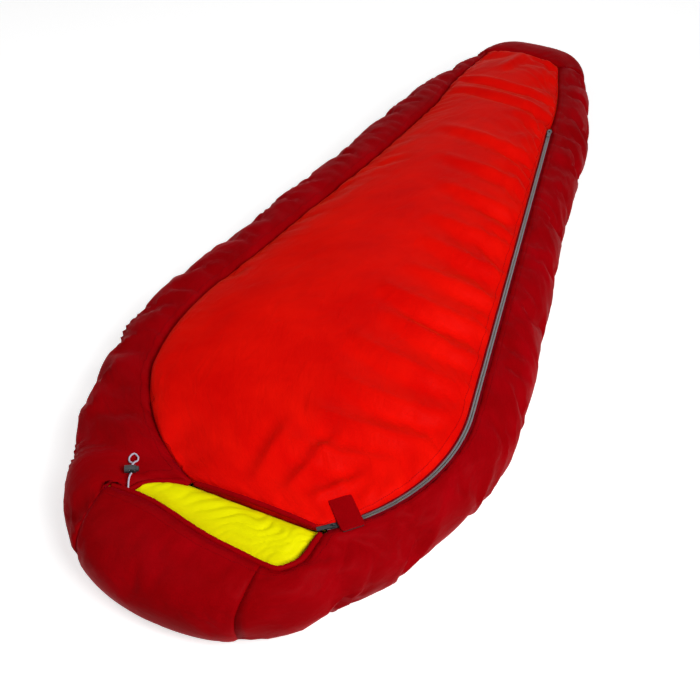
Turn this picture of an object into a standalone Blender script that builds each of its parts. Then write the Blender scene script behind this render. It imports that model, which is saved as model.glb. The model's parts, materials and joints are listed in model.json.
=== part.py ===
"""Hooded mummy sleeping bag, lying closed and flat on its back.

Metres, +Z up. The head end points to -Y, the foot end to +Y, and the zip runs
down the +X side. The origin is on the floor under the middle of the bag. A place
along the bag is given by its station, its distance from the head end.

Each wall of the bag is an outer shell, an insulation quilt and a lining. They are
lofted between an outer surface and a cavity surface, and share both.
"""
import math

import bmesh
import bpy
from mathutils import Matrix, Vector

# Overall size
LENGTH = 2.20
HEIGHT = 0.190                 # floor to the top of the crown

# Outline widths, and where they are, as shares of the length
HEAD_WIDTH = 0.364
HOOD_WIDTH = 0.480
NECK_WIDTH = 0.656
SHOULDER_WIDTH = 0.824
HIP_WIDTH = 0.744
KNEE_WIDTH = 0.620
ANKLE_WIDTH = 0.508
TOE_WIDTH = 0.330
OUTLINE_SHARES = (0.02, 0.05, 0.12, 0.25, 0.42, 0.60, 0.80)
HEAD_ROUND_POWER = 2.2         # how square the head end is in plan
FOOT_ROUND_POWER = 4.0
FOOT_ROUND_DEPTH = 0.120       # last stretch of the length, which rounds the foot end

# Heights
SEAM_HEIGHT = 0.145            # where the top panel meets the sides
FOOT_SEAM_HEIGHT = 0.130
WAIST_HEIGHT = 0.080           # where the sides bulge out furthest
CROWN_SETBACK = 0.750          # from the foot end to where the crown starts to fall
HOOD_RISE = 0.008              # how far the hood's lip arches above the seam
SIDE_SQUARENESS = 0.87         # 1 gives the side walls an elliptic section, less a squarer one

# Quilt thicknesses
SHELL = 0.0012
LINING = 0.0010
TOP_QUILT = 0.045
SIDE_QUILT = 0.080
END_QUILT = 0.060
BOTTOM_QUILT = 0.050
EDGE_QUILT = 0.008             # where a quilt tapers into its seam
HOOD_LIP_QUILT = 0.020
FLOOR_INSET = 0.050            # how far the floor contact lies inside the outline
CAVITY_INSET = 0.010           # how far the cavity's floor lies inside its walls
PLUMB_SHARE = 0.97             # a cavity wall stands this near to plumb under its seam at most

# Seams and the face opening, as (x, station)
LEFT_SEAM_INSET = 0.120
LEFT_SEAM_STATION = 0.430      # where the shoulder seam has swept out to the side
FOOT_EDGE_SETBACK = 0.140      # from the foot end to the top panel's foot edge
FOOT_EDGE_STATION = LENGTH - FOOT_EDGE_SETBACK
FOOT_EDGE_LEFT = 0.035         # how far the foot edge starts inside the outline
FOOT_EDGE_RIGHT = 0.085
NECK_LEFT = Vector((-0.047, 0.2155))
SHOULDER_SWEEP = Vector((-0.200, 0.285))
FACE_RIGHT = Vector((0.200, 0.2208))
HOOD_LIP = ((-0.175, 0.145), (-0.090, 0.142), (0.030, 0.118), (0.140, 0.111))
# Each row joins a place on the opening's edge (x, station) to a station on the outline
LEFT_CORNER = ((0.100, -0.166, 0.1535), (0.160, -0.140, 0.158), (0.190, -0.122, 0.183), (0.215, -0.082, 0.206))
RIGHT_CORNER = ((0.090, 0.172, 0.116), (0.150, 0.198, 0.148), (0.200, 0.203, 0.190))
NECK_STATION = 0.2355          # where the neck edge's line meets the outline

# Zip: a straight run up the side, then an arc round the shoulder
ZIP_SHOULDER_STATION = 0.577
ZIP_SHOULDER_INSET = 0.081
ZIP_FOOT_SETBACK = 0.540       # from the foot end to the zip's foot end
ZIP_FOOT_STATION = LENGTH - ZIP_FOOT_SETBACK
ZIP_FOOT_INSET = 0.099
ZIP_DROP = 0.004               # the chain lies this far below the panels' surface
ZIP_HALF_SLOT = 0.0075         # half the slot between the panels that the chain fills
COIL_WIDTH = 0.0032
COIL_HALF_HEIGHT = 0.0012
TAPE_HALF_HEIGHT = 0.0004
TAPE_MARGIN = 0.0014           # what the tape's edge stays clear of the facets of the slot
POST_WIDTH = 0.0010            # web between a slider's two plates

# Sliders and their pulls
SLIDER_LENGTH = 0.014
SLIDER_WIDTH = 0.011
SLIDER_PLATE = 0.0012
SLIDER_CLEARANCE = 0.0003
SLIDER_PARK = 0.017            # arc from the zip's head end to the parked upper slider
LOWER_PARK = 0.015             # from the zip's foot end to the parked lower slider
STOP_LENGTH = 0.005
BRIDGE_WIDTH = 0.0036
BRIDGE_WALL = 0.0008
BRIDGE_BORE = 0.0026
PULL_WIDTH = 0.008
PULL_LENGTH = 0.030
PULL_THICKNESS = 0.0014
PULL_BAR = 0.0016
PULL_WINDOW = 0.0060
PULL_ARM = 0.0018

# The top panel folds back along a straight crease
CREASE_START = 0.08            # share of the neck edge left of the crease
CREASE_FOOT_SETBACK = 0.510    # from the foot end to where the crease's line would meet the zip
CREASE_FOOT_STATION = LENGTH - CREASE_FOOT_SETBACK
FLAP_FOOT_SETBACK = 0.950
FLAP_FOOT_STATION = LENGTH - FLAP_FOOT_SETBACK

# Touch-fastener tab over the zip's head end
TAB_START = 0.023              # arc from the zip's head end to the tab
TAB_WIDTH = 0.042
TAB_REACH = 0.044              # from the zip to the sewn edge
TAB_OVERHANG = 0.019           # from the zip to the free end
TAB_THICKNESS = 0.0015
TAB_CLEARANCE = 0.0006         # over the passing slider
HOOK_WIDTH = 0.009

# Edge tubes, draft tube, collar and cord
CASING_RADIUS = 0.0050
CASING_BORE = 0.0023
CORD_RADIUS = 0.0015
BINDING_RADIUS = 0.0040
EDGE_TUBE_DROP = 0.0008        # tube's top below the panel's surface
DRAFT_TUBE_WIDTH = 0.026
DRAFT_TUBE_HEIGHT = 0.018
DRAFT_TUBE_DROP = 0.016        # padded part below the sewn edge
COLLAR_DEPTH = 0.072
COLLAR_HEIGHT = 0.033
COLLAR_DROP = 0.0112
COLLAR_END_MARGIN = 0.028
COLLAR_END_DEPTH = 0.040       # the collar's part left of the crease
COLLAR_END_HEIGHT = 0.030
COLLAR_END_SWELL = 0.35        # its thinner end, as a share
COLLAR_END_OUT = 0.45          # how far its middle lies out past the sewn edge, in half depths

# Cord lock at the left corner of the face opening
LOCK_PLACE = Vector((-0.160, 0.182))
LOCK_TURN = math.radians(28)
LOCK_SEAT = 0.0005             # barrel's underside below the seams' height
LOCK_RADIUS = 0.0070
LOCK_LENGTH = 0.019
LOCK_BORE = 0.0052
LOCK_FLOOR = 0.0030
PLUNGER_GAP = 0.0004
PLUNGER_OUT = 0.0050           # how far the button stands out of its barrel
PLUNGER_LENGTH = 0.0150
CORD_HOLE = 0.0040             # radius of the barrel's cross hole
PLUNGER_TRAVEL = 0.0020
SPRING_WIRE = 0.0004
SPRING_TURNS = 2
LOOP_REACH = 0.034             # how far the free loop lies out past the lock
LOOP_HALF_WIDTH = 0.0075

GAP = 0.0003                   # between pieces that touch
SEAM_GAP = 0.0004              # between neighbours along a sewn seam

# Facets
UPPER_STEPS = 4
LOWER_STEPS = 3
HOOD_STEPS = 8
FOOT_STEPS = 6
ARC_STEPS = 8
COIL_ARC_STEPS = 24
TUBE_SIDES = 8
COLLAR_SIDES = 10
COLLAR_END_STEPS = 3
CROSS_STEPS = 6
CREASE_STEPS = 3

SHELL_RED = (0.78, 0.010, 0.006, 1.0)
SHELL_CRIMSON = (0.22, 0.003, 0.010, 1.0)
LIME = (0.72, 0.78, 0.010, 1.0)
WADDING = (0.80, 0.80, 0.78, 1.0)
ZIP_GREY = (0.16, 0.16, 0.17, 1.0)
SLIDER_BLACK = (0.03, 0.03, 0.035, 1.0)
CORD_PALE = (0.62, 0.60, 0.66, 1.0)


def clear_scene():
    for old in list(bpy.data.objects):
        bpy.data.objects.remove(old, do_unlink=True)


def material(name, colour, roughness, metallic=0.0):
    made = bpy.data.materials.new(name)
    made.use_nodes = True
    shader = made.node_tree.nodes["Principled BSDF"]
    shader.inputs["Base Color"].default_value = colour
    shader.inputs["Roughness"].default_value = roughness
    shader.inputs["Metallic"].default_value = metallic
    return made


# ---------------------------------------------------------------- plan curves

def through(knots, t):
    """Smooth curve through (t, value) knots, with slopes from the neighbours."""
    slopes = []
    last = len(knots) - 1
    for i in range(len(knots)):
        before = knots[max(i - 1, 0)]
        after = knots[min(i + 1, last)]
        slopes.append((after[1] - before[1]) / (after[0] - before[0]))
    i = 0
    while i < last - 1 and t > knots[i + 1][0]:
        i += 1
    (t0, v0), (t1, v1) = knots[i], knots[i + 1]
    span = t1 - t0
    u = (t - t0) / span
    return ((2 * u ** 3 - 3 * u ** 2 + 1) * v0 + (u ** 3 - 2 * u ** 2 + u) * span * slopes[i]
            + (3 * u ** 2 - 2 * u ** 3) * v1 + (u ** 3 - u ** 2) * span * slopes[i + 1])


def mix(a, b, share):
    return a + (b - a) * share


OUTLINE_WIDTHS = (HEAD_WIDTH, HOOD_WIDTH, NECK_WIDTH, SHOULDER_WIDTH, HIP_WIDTH, KNEE_WIDTH, ANKLE_WIDTH)
OUTLINE = [(share * LENGTH, width / 2) for share, width in zip(OUTLINE_SHARES, OUTLINE_WIDTHS)]
OUTLINE.append((LENGTH - FOOT_ROUND_DEPTH, TOE_WIDTH / 2))


def half_width(station):
    return through(OUTLINE, station)


def head_outline(x):
    depth = OUTLINE[0][0]
    return Vector((x, depth * (abs(x) / (HEAD_WIDTH / 2)) ** HEAD_ROUND_POWER))


def foot_outline(x):
    share = (abs(x) / (TOE_WIDTH / 2)) ** FOOT_ROUND_POWER
    return Vector((x, LENGTH - FOOT_ROUND_DEPTH * share))


def side_normal(sign, station):
    """Direction square to the outline, into the bag."""
    slope = (half_width(station + 0.001) - half_width(station - 0.001)) / 0.002
    return Vector((-sign, slope)).normalized()


def head_normal(x):
    return Vector((head_outline(x - 0.001).y - head_outline(x + 0.001).y, 0.002)).normalized()


def foot_normal(x):
    return Vector((foot_outline(x + 0.001).y - foot_outline(x - 0.001).y, -0.002)).normalized()


def seam_height(station):
    share = (station - ZIP_FOOT_STATION) / (FOOT_EDGE_STATION - ZIP_FOOT_STATION)
    return mix(SEAM_HEIGHT, FOOT_SEAM_HEIGHT, min(max(share, 0.0), 1.0))


def crown_rise(station):
    """How far the middle of the top panel stands above its seams."""
    full = HEIGHT - SEAM_HEIGHT
    knots = ((NECK_STATION, 0.22), (0.40, 0.66), (0.66, 1.0), (LENGTH - CROWN_SETBACK, 1.0),
             (FOOT_EDGE_STATION, 0.36))
    if station <= NECK_STATION:
        return full * knots[0][1]
    if knots[2][0] <= station <= knots[3][0]:
        return full
    return full * min(through(knots, station), 1.0)


# The zip's line: a circle through the face opening's corner, tangent to the straight run
ZIP_KNEE = Vector((half_width(ZIP_SHOULDER_STATION) - ZIP_SHOULDER_INSET, ZIP_SHOULDER_STATION))
ZIP_FOOT = Vector((half_width(ZIP_FOOT_STATION) - ZIP_FOOT_INSET, ZIP_FOOT_STATION))
ZIP_RUN = (ZIP_KNEE - ZIP_FOOT).normalized()
ZIP_INWARD = Vector((ZIP_RUN.y, -ZIP_RUN.x))
ZIP_CHORD = FACE_RIGHT - ZIP_KNEE
ZIP_RADIUS = ZIP_CHORD.length_squared / (2 * ZIP_CHORD.dot(ZIP_INWARD))
ZIP_CENTRE = ZIP_KNEE + ZIP_INWARD * ZIP_RADIUS
ZIP_KNEE_ANGLE = math.atan2(ZIP_KNEE.y - ZIP_CENTRE.y, ZIP_KNEE.x - ZIP_CENTRE.x)
ZIP_HEAD_ANGLE = math.atan2(FACE_RIGHT.y - ZIP_CENTRE.y, FACE_RIGHT.x - ZIP_CENTRE.x)
ZIP_ARC = ZIP_RADIUS * (ZIP_KNEE_ANGLE - ZIP_HEAD_ANGLE)
ZIP_LENGTH = ZIP_ARC + (ZIP_FOOT - ZIP_KNEE).length
ZIP_PLANE = SEAM_HEIGHT - ZIP_DROP


def zip_frame(distance):
    """Place on the zip's line and its outward normal, by distance from the head end."""
    if distance <= ZIP_ARC:
        angle = ZIP_HEAD_ANGLE + distance / ZIP_RADIUS
        normal = Vector((math.cos(angle), math.sin(angle)))
        return ZIP_CENTRE + normal * ZIP_RADIUS, normal
    return ZIP_KNEE - ZIP_RUN * (distance - ZIP_ARC), -ZIP_INWARD


def zip_distance(station):
    """Distance along the zip's straight run at a station."""
    return ZIP_ARC + (station - ZIP_KNEE.y) / -ZIP_RUN.y


def left_edge(station):
    """Top panel's left seam: it sweeps out from the neck, then follows the outline."""
    end = Vector((LEFT_SEAM_INSET - half_width(LEFT_SEAM_STATION), LEFT_SEAM_STATION))
    if station < LEFT_SEAM_STATION:
        t = (station - NECK_STATION) / (LEFT_SEAM_STATION - NECK_STATION)
        return NECK_LEFT * (1 - t) ** 2 + SHOULDER_SWEEP * 2 * t * (1 - t) + end * t ** 2
    share = max(0.0, (station - ZIP_FOOT_STATION) / (FOOT_EDGE_STATION - ZIP_FOOT_STATION))
    return Vector((mix(LEFT_SEAM_INSET, FOOT_EDGE_LEFT, share) - half_width(station), station))


def right_edge(station):
    """Top panel's right seam: the zip's line, then a seam that turns in at the foot."""
    if station <= ZIP_KNEE.y:
        share = (station - NECK_STATION) / (ZIP_KNEE.y - NECK_STATION)
        return zip_frame(ZIP_ARC * share)[0]
    if station <= ZIP_FOOT_STATION:
        return zip_frame(zip_distance(station))[0]
    share = (station - ZIP_FOOT_STATION) / (FOOT_EDGE_STATION - ZIP_FOOT_STATION)
    inset = mix(ZIP_FOOT_INSET, FOOT_EDGE_RIGHT, share)
    return Vector((half_width(station) - inset, station))


def zip_normal(station):
    """Outward direction square to the top panel's right edge, in plan."""
    if station >= ZIP_KNEE.y:
        return -ZIP_INWARD
    share = (station - NECK_STATION) / (ZIP_KNEE.y - NECK_STATION)
    return zip_frame(ZIP_ARC * share)[1]


def spread(first, last, steps):
    return [mix(first, last, i / steps) for i in range(steps + 1)]


TRENCH_END = ZIP_FOOT_STATION + 0.010
HEAD_STATIONS = spread(NECK_STATION, ZIP_KNEE.y, ARC_STEPS)
BODY_STATIONS = spread(ZIP_KNEE.y, FLAP_FOOT_STATION, 4)[1:]
LEG_STATIONS = spread(FLAP_FOOT_STATION, ZIP_FOOT_STATION, 3)[1:]
FOOT_STATIONS = [TRENCH_END] + spread(TRENCH_END, FOOT_EDGE_STATION, 3)[1:]
STATIONS = HEAD_STATIONS + BODY_STATIONS + LEG_STATIONS + FOOT_STATIONS


# --------------------------------------------------------------- mesh helpers

def place(flat, height):
    """Plan point (x, station) and height as a point of the model."""
    return Vector((flat[0], flat[1] - LENGTH / 2, height))


def finish(name, mesh, look, smooth=False):
    bmesh.ops.remove_doubles(mesh, verts=mesh.verts, dist=1e-7)
    bmesh.ops.triangulate(mesh, faces=[face for face in mesh.faces if len(face.verts) > 4])
    bmesh.ops.recalc_face_normals(mesh, faces=mesh.faces)
    if mesh.calc_volume(signed=True) < 0:
        bmesh.ops.reverse_faces(mesh, faces=mesh.faces)
    data = bpy.data.meshes.new(name)
    mesh.to_mesh(data)
    mesh.free()
    made = bpy.data.objects.new(name, data)
    bpy.context.collection.objects.link(made)
    made.data.materials.append(look)
    if smooth:
        made.data.shade_smooth()
        made.data.set_sharp_from_angle(angle=math.radians(40))
    return made


def slab(name, outer, inner, look):
    """Closed solid between two grids of points that face each other."""
    rows = len(outer)
    columns = len(outer[0])
    mesh = bmesh.new()
    near = [[mesh.verts.new(point) for point in row] for row in outer]
    far = [[mesh.verts.new(point) for point in row] for row in inner]

    def quad(a, b, c, d):
        """Two triangles, always split from a to c, so that neighbours match."""
        mesh.faces.new((a, b, c))
        mesh.faces.new((a, c, d))

    for i in range(rows - 1):
        for j in range(columns - 1):
            quad(near[i][j], near[i + 1][j], near[i + 1][j + 1], near[i][j + 1])
            quad(far[i][j], far[i + 1][j], far[i + 1][j + 1], far[i][j + 1])
    for i in range(rows - 1):
        for j in (0, columns - 1):
            quad(near[i][j], near[i + 1][j], far[i + 1][j], far[i][j])
    for j in range(columns - 1):
        for i in (0, rows - 1):
            quad(near[i][j], near[i][j + 1], far[i][j + 1], far[i][j])
    return finish(name, mesh, look)


def loft(name, sections, look, closed=False, smooth=False):
    """Closed solid through rings of points; its ends are capped unless it closes on itself."""
    mesh = bmesh.new()
    rings = [[mesh.verts.new(point) for point in section] for section in sections]
    sides = len(rings[0])
    count = len(rings)
    for i in range(count if closed else count - 1):
        first = rings[i]
        second = rings[(i + 1) % count]
        for j in range(sides):
            k = (j + 1) % sides
            mesh.faces.new((first[j], first[k], second[k], second[j]))
    if not closed:
        mesh.faces.new(rings[0])
        mesh.faces.new(rings[-1])
    return finish(name, mesh, look, smooth)


def layers(outer, inner, start=None, stop=None):
    """Two grids inside a wall: distances count from the outside, or if negative from the inside."""
    def grid(distance):
        rows = []
        for near_row, far_row in zip(outer, inner):
            row = []
            for near, far in zip(near_row, far_row):
                step = (far - near).normalized()
                row.append(near + step * distance if distance >= 0 else far + step * distance)
            rows.append(row)
        return rows
    near_grid = outer if start is None else grid(start)
    far_grid = inner if stop is None else grid(stop)
    return near_grid, far_grid


def quilted(names, outer, inner, looks):
    """Shell, insulation and lining of one wall."""
    slab(names[0], *layers(outer, inner, None, SHELL), looks[0])
    slab(names[1], *layers(outer, inner, SHELL + GAP, -LINING - GAP), looks[1])
    slab(names[2], *layers(outer, inner, -LINING, None), looks[2])


def ring(centre, across, up, half_across, half_up, sides=TUBE_SIDES):
    points = []
    for i in range(sides):
        angle = 2 * math.pi * (i + 0.5) / sides
        points.append(centre + across * half_across * math.cos(angle) + up * half_up * math.sin(angle))
    return points


def tube_rings(path, radius, sides=TUBE_SIDES):
    """Round rings square to a path of points."""
    rings = []
    for i, point in enumerate(path):
        along = (path[min(i + 1, len(path) - 1)] - path[max(i - 1, 0)]).normalized()
        across = along.cross(Vector((0, 0, 1))).normalized()
        rings.append(ring(point, across, across.cross(along).normalized(), radius, radius, sides))
    return rings


# ---------------------------------------------------------------- wall strips

def edge_pair(top, top_height, thickness, rim, normal, quilt):
    """One profile of a wall: top edge, its thickness, and the outline's point, normal and quilt."""
    return {"top": top, "height": top_height, "edge": thickness, "rim": rim, "normal": normal, "quilt": quilt}


def profile(pair, shift):
    """Outer and cavity points of one profile, from the top edge out over the side to the floor."""
    rim = pair["rim"]
    normal = pair["normal"]
    inward = (pair["top"] - rim).normalized()
    top = pair["top"] - inward * shift
    waist = WAIST_HEIGHT
    outer = []
    inner = []
    cavity_rim = rim + inward * min(pair["quilt"], (top - rim).length * PLUMB_SHARE)
    cavity_top = pair["height"] - pair["edge"]
    for j in range(UPPER_STEPS + 1):
        angle = math.pi / 2 * j / UPPER_STEPS
        out = math.sin(angle) ** SIDE_SQUARENESS
        up = math.cos(angle) ** SIDE_SQUARENESS if j < UPPER_STEPS else 0.0
        outer.append(place(mix(top, rim, out), mix(waist, pair["height"], up)))
        inner.append(place(mix(top, cavity_rim, out), mix(waist, cavity_top, up)))
    for j in range(1, LOWER_STEPS + 1):
        angle = math.pi / 2 * j / LOWER_STEPS
        under = 1 - math.cos(angle)
        outer.append(place(rim + normal * FLOOR_INSET * under, waist * (1 - math.sin(angle))))
        inner.append(place(cavity_rim + normal * CAVITY_INSET * under,
                           mix(waist, BOTTOM_QUILT, math.sin(angle))))
    return outer, inner


def drawn_in(pairs):
    """The same profiles with the first and last drawn in by half a seam gap."""
    trimmed = [dict(pair) for pair in pairs]
    for end, beside in ((0, 1), (-1, -2)):
        for key in ("top", "rim"):
            step = (pairs[beside][key] - pairs[end][key]).normalized()
            trimmed[end][key] = pairs[end][key] + step * SEAM_GAP
    return trimmed


def wall(names, pairs, shift, looks):
    grids = [profile(pair, shift) for pair in drawn_in(pairs)]
    outer = [grid[0] for grid in grids]
    inner = [grid[1] for grid in grids]
    quilted(names, outer, inner, looks)


def hood_pairs():
    pairs = []
    for i in range(HOOD_STEPS + 1):
        share = i / HOOD_STEPS
        x = mix(HOOD_LIP[0][0], HOOD_LIP[-1][0], share)
        lip = Vector((x, through(HOOD_LIP, x)))
        rise = HOOD_RISE * math.sin(math.pi * share)
        edge = mix(EDGE_QUILT, HOOD_LIP_QUILT, math.sin(math.pi * share))
        pairs.append(edge_pair(lip, SEAM_HEIGHT + rise, edge, head_outline(x), head_normal(x), END_QUILT))
    return pairs


def side_pairs(sign):
    """Profiles of one side wall from the hood's seam to the foot's corner."""
    corner = RIGHT_CORNER if sign > 0 else LEFT_CORNER
    edge = right_edge if sign > 0 else left_edge
    pairs = [hood_pairs()[-1 if sign > 0 else 0]]
    for i, (station, x, along) in enumerate(corner):
        rim = Vector((sign * half_width(station), station))
        quilt = mix(END_QUILT, SIDE_QUILT, (i + 1) / (len(corner) + 1))
        pairs.append(edge_pair(Vector((x, along)), SEAM_HEIGHT, EDGE_QUILT, rim, side_normal(sign, station), quilt))
    for station in STATIONS[:-1]:
        rim = Vector((sign * half_width(station), station))
        top = edge(station)
        if sign > 0:
            top = top + zip_normal(station) * slot_gap(station)
        pairs.append(edge_pair(top, seam_height(station), EDGE_QUILT, rim, side_normal(sign, station), SIDE_QUILT))
    pairs.append(foot_pairs()[0 if sign > 0 else -1])
    return pairs


def foot_pairs():
    """Profiles of the foot end, from the right corner round to the left."""
    right = right_edge(FOOT_EDGE_STATION)
    left = left_edge(FOOT_EDGE_STATION)
    pairs = []
    for i in range(FOOT_STEPS + 1):
        share = i / FOOT_STEPS
        x = TOE_WIDTH / 2 * math.cos(math.pi * share)
        surface, thickness = top_heights(FOOT_EDGE_STATION, 1 - share)
        pairs.append(edge_pair(mix(right, left, share), surface, thickness,
                               foot_outline(x), foot_normal(x), END_QUILT))
    return pairs


def top_heights(station, share):
    """Surface height and quilt thickness of the top panel, by its share of the way across."""
    bulge = (4 * share * (1 - share)) ** 0.8 if 0 < share < 1 else 0.0
    taper = math.sin(math.pi * share) ** 0.7 if 0 < share < 1 else 0.0
    surface = seam_height(station) + crown_rise(station) * bulge
    return surface, mix(EDGE_QUILT, TOP_QUILT, taper)


# ------------------------------------------------------------ top panel halves

CREASE_HEAD = mix(left_edge(NECK_STATION), right_edge(NECK_STATION), CREASE_START)
CREASE_FOOT = zip_frame(zip_distance(CREASE_FOOT_STATION))[0]
CREASE_RUN = (CREASE_FOOT - CREASE_HEAD).normalized()


def crease_share(left, right):
    """Share of the way from left to right at which a row crosses the crease."""
    normal = Vector((CREASE_RUN.y, -CREASE_RUN.x))
    return (CREASE_HEAD - left).dot(normal) / (right - left).dot(normal)


def top_row(station, low, high, steps, high_gap):
    """One row of the top panel between two shares of its width, as outer and cavity points."""
    left = left_edge(station)
    right = right_edge(station)
    across = (right - left).normalized()
    outer = []
    inner = []
    for k in range(steps + 1):
        share = mix(low, high, k / steps)
        surface, thickness = top_heights(station, share)
        flat = mix(left, right, share)
        if k == 0:
            flat = flat + across * SEAM_GAP
        if k == steps:
            flat = flat - (zip_normal(station) if high == 1 else across) * high_gap
        outer.append(place(flat, surface))
        inner.append(place(flat, surface - thickness))
    return outer, inner


def slot_gap(station):
    """Half the gap on the panel's right: the zip's slot, or a sewn seam past its end."""
    return SEAM_GAP if station >= TRENCH_END else ZIP_HALF_SLOT


def top_panels(looks):
    """The part left of the crease with the whole foot part, and the flap right of it."""
    fixed = []
    flap = []
    for station in HEAD_STATIONS + BODY_STATIONS:
        split = crease_share(left_edge(station), right_edge(station))
        fixed.append(top_row(station, 0, split, CREASE_STEPS, SEAM_GAP))
        flap.append(top_row(station, split, 1, CREASE_STEPS, ZIP_HALF_SLOT))
    flap_foot = FLAP_FOOT_STATION - 2 * SEAM_GAP
    split = crease_share(left_edge(flap_foot), right_edge(flap_foot))
    flap[-1] = top_row(flap_foot, split, 1, CREASE_STEPS, ZIP_HALF_SLOT)
    panels("", fixed, looks)
    panels("_flap", flap, looks)
    legs = []
    first = FLAP_FOOT_STATION + 2 * SEAM_GAP
    for station in [first] + LEG_STATIONS + FOOT_STATIONS:
        legs.append(top_row(station, 0, 1, CROSS_STEPS, slot_gap(station)))
    panels("_foot", legs, looks)


def panels(suffix, rows, looks):
    names = ["top_" + kind + suffix for kind in ("panel", "insulation", "lining")]
    quilted(names, [row[0] for row in rows], [row[1] for row in rows], looks)


# --------------------------------------------------------------------- bottom

def floor_loop():
    """The walls' floor edges all round: points on the floor and on the cavity's floor.

    The last item says whether the wall's rows run the same way as the loop.
    """
    forward = hood_pairs()[:-1] + side_pairs(1)[:-1] + foot_pairs()[:-1]
    backward = side_pairs(-1)[:0:-1]
    loop = []
    for pair in forward + backward:
        outer, inner = profile(pair, 0.0)
        loop.append((outer[-1], inner[-1], len(loop) < len(forward)))
    return loop


def bottom_layer(name, low, high, look):
    """Flat slab of the bottom between two heights, its rim following the walls' floor edges."""
    loop = floor_loop()
    count = len(loop)
    mesh = bmesh.new()
    lower = []
    upper = []
    for i in range(count):
        along = (loop[(i + 1) % count][0] - loop[i - 1][0]).normalized()
        inward = Vector((-along.y, along.x, 0))
        for height, points in ((low, lower), (high, upper)):
            point = mix(loop[i][0], loop[i][1], height / BOTTOM_QUILT)
            points.append(mesh.verts.new(point + inward * 2 * SEAM_GAP))
    for i in range(count):
        k = (i + 1) % count
        if loop[i][2]:
            mesh.faces.new((lower[i], lower[k], upper[k]))
            mesh.faces.new((lower[i], upper[k], upper[i]))
        else:
            mesh.faces.new((lower[i], lower[k], upper[i]))
            mesh.faces.new((lower[k], upper[k], upper[i]))
    mesh.faces.new(lower)
    mesh.faces.new(upper)
    return finish(name, mesh, look)


# ------------------------------------------------------------------------ zip

def zip_rail(name, start, stop, near, far, half_height, look):
    """Bar along the zip's line between two distances and two offsets from the line."""
    marks = [start]
    step = ZIP_ARC / COIL_ARC_STEPS
    for i in range(1, COIL_ARC_STEPS + 1):
        if start + step / 4 < i * step < stop - step / 4:
            marks.append(i * step)
    marks.append(stop)
    sections = []
    for mark in marks:
        point, normal = zip_frame(mark)
        section = []
        for offset, height in ((near, -1), (far, -1), (far, 1), (near, 1)):
            section.append(place(point + normal * offset, ZIP_PLANE + height * half_height))
        sections.append(section)
    return loft(name, sections, look)


def zip_parts(looks):
    """Two coils and two tapes; the flap's are cut at the flap's foot end."""
    inner_edge = POST_WIDTH / 2 + SLIDER_CLEARANCE
    outer_edge = inner_edge + COIL_WIDTH
    park = SLIDER_PARK + SLIDER_LENGTH / 2 + 2 * GAP
    foot = ZIP_LENGTH - STOP_LENGTH - GAP
    flap_foot = zip_distance(FLAP_FOOT_STATION)
    spans = (("side", 1, 0.004, foot), ("flap", -1, park, flap_foot - 2 * SEAM_GAP),
             ("foot", -1, flap_foot + 2 * SEAM_GAP, foot))
    for name, sign, start, stop in spans:
        zip_rail("zip_coil_" + name, start, stop, sign * inner_edge, sign * outer_edge,
                 COIL_HALF_HEIGHT, looks["coil"])
        zip_rail("zip_tape_" + name, start, stop, sign * (outer_edge + GAP),
                 sign * (ZIP_HALF_SLOT - TAPE_MARGIN), TAPE_HALF_HEIGHT, looks["tape"])
    stop_half = outer_edge
    zip_rail("zip_bottom_stop", ZIP_LENGTH - STOP_LENGTH, ZIP_LENGTH, -stop_half, stop_half,
             COIL_HALF_HEIGHT, looks["metal"])


def zip_axes(distance, toward_head):
    """Centre of the zip's line there, with the directions along, across and up."""
    point, normal = zip_frame(distance)
    across = Vector((normal.x, normal.y, 0))
    along = Vector((normal.y, -normal.x, 0))
    if not toward_head:
        along = -along
    return place(point, ZIP_PLANE), along, across


def extruded(name, outline, centre, right, up, along, low, high, look):
    """Solid of a flat outline (in right and up) drawn out along a direction."""
    sections = []
    for reach in (low, high):
        sections.append([centre + right * a + up * b + along * reach for a, b in outline])
    return loft(name, sections, look)


def slider(name, distance, look):
    """Two plates on a web, with a bridge over the pull's bar."""
    centre, along, across = zip_axes(distance, True)
    up = Vector((0, 0, 1))
    low = COIL_HALF_HEIGHT + SLIDER_CLEARANCE
    high = low + SLIDER_PLATE
    web = POST_WIDTH / 2
    half = SLIDER_WIDTH / 2
    right_side = [(half, -high), (half, -low), (web, -low), (web, low), (half, low), (half, high)]
    outline = right_side + [(-a, -b) for a, b in right_side]
    body = extruded(name, outline, centre, across, up, along, -SLIDER_LENGTH / 2, SLIDER_LENGTH / 2, look)
    reach = BRIDGE_BORE / 2 + BRIDGE_WALL
    root = high - SLIDER_PLATE / 2
    roof = high + BRIDGE_BORE + BRIDGE_WALL
    arch = [(-reach, root), (-reach, roof), (reach, roof), (reach, root),
            (reach - BRIDGE_WALL, root), (reach - BRIDGE_WALL, roof - BRIDGE_WALL),
            (BRIDGE_WALL - reach, roof - BRIDGE_WALL), (BRIDGE_WALL - reach, root)]
    bridge = extruded(name + "_bridge", arch, centre, along, up, across, -BRIDGE_WIDTH / 2, BRIDGE_WIDTH / 2, look)
    bridge.hide_render = True
    bridge.display_type = "WIRE"
    union = body.modifiers.new("bridge", "BOOLEAN")
    union.operation = "UNION"
    union.object = bridge
    return body


PULL_AXIS_HEIGHT = COIL_HALF_HEIGHT + SLIDER_CLEARANCE + SLIDER_PLATE + BRIDGE_BORE / 2


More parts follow.
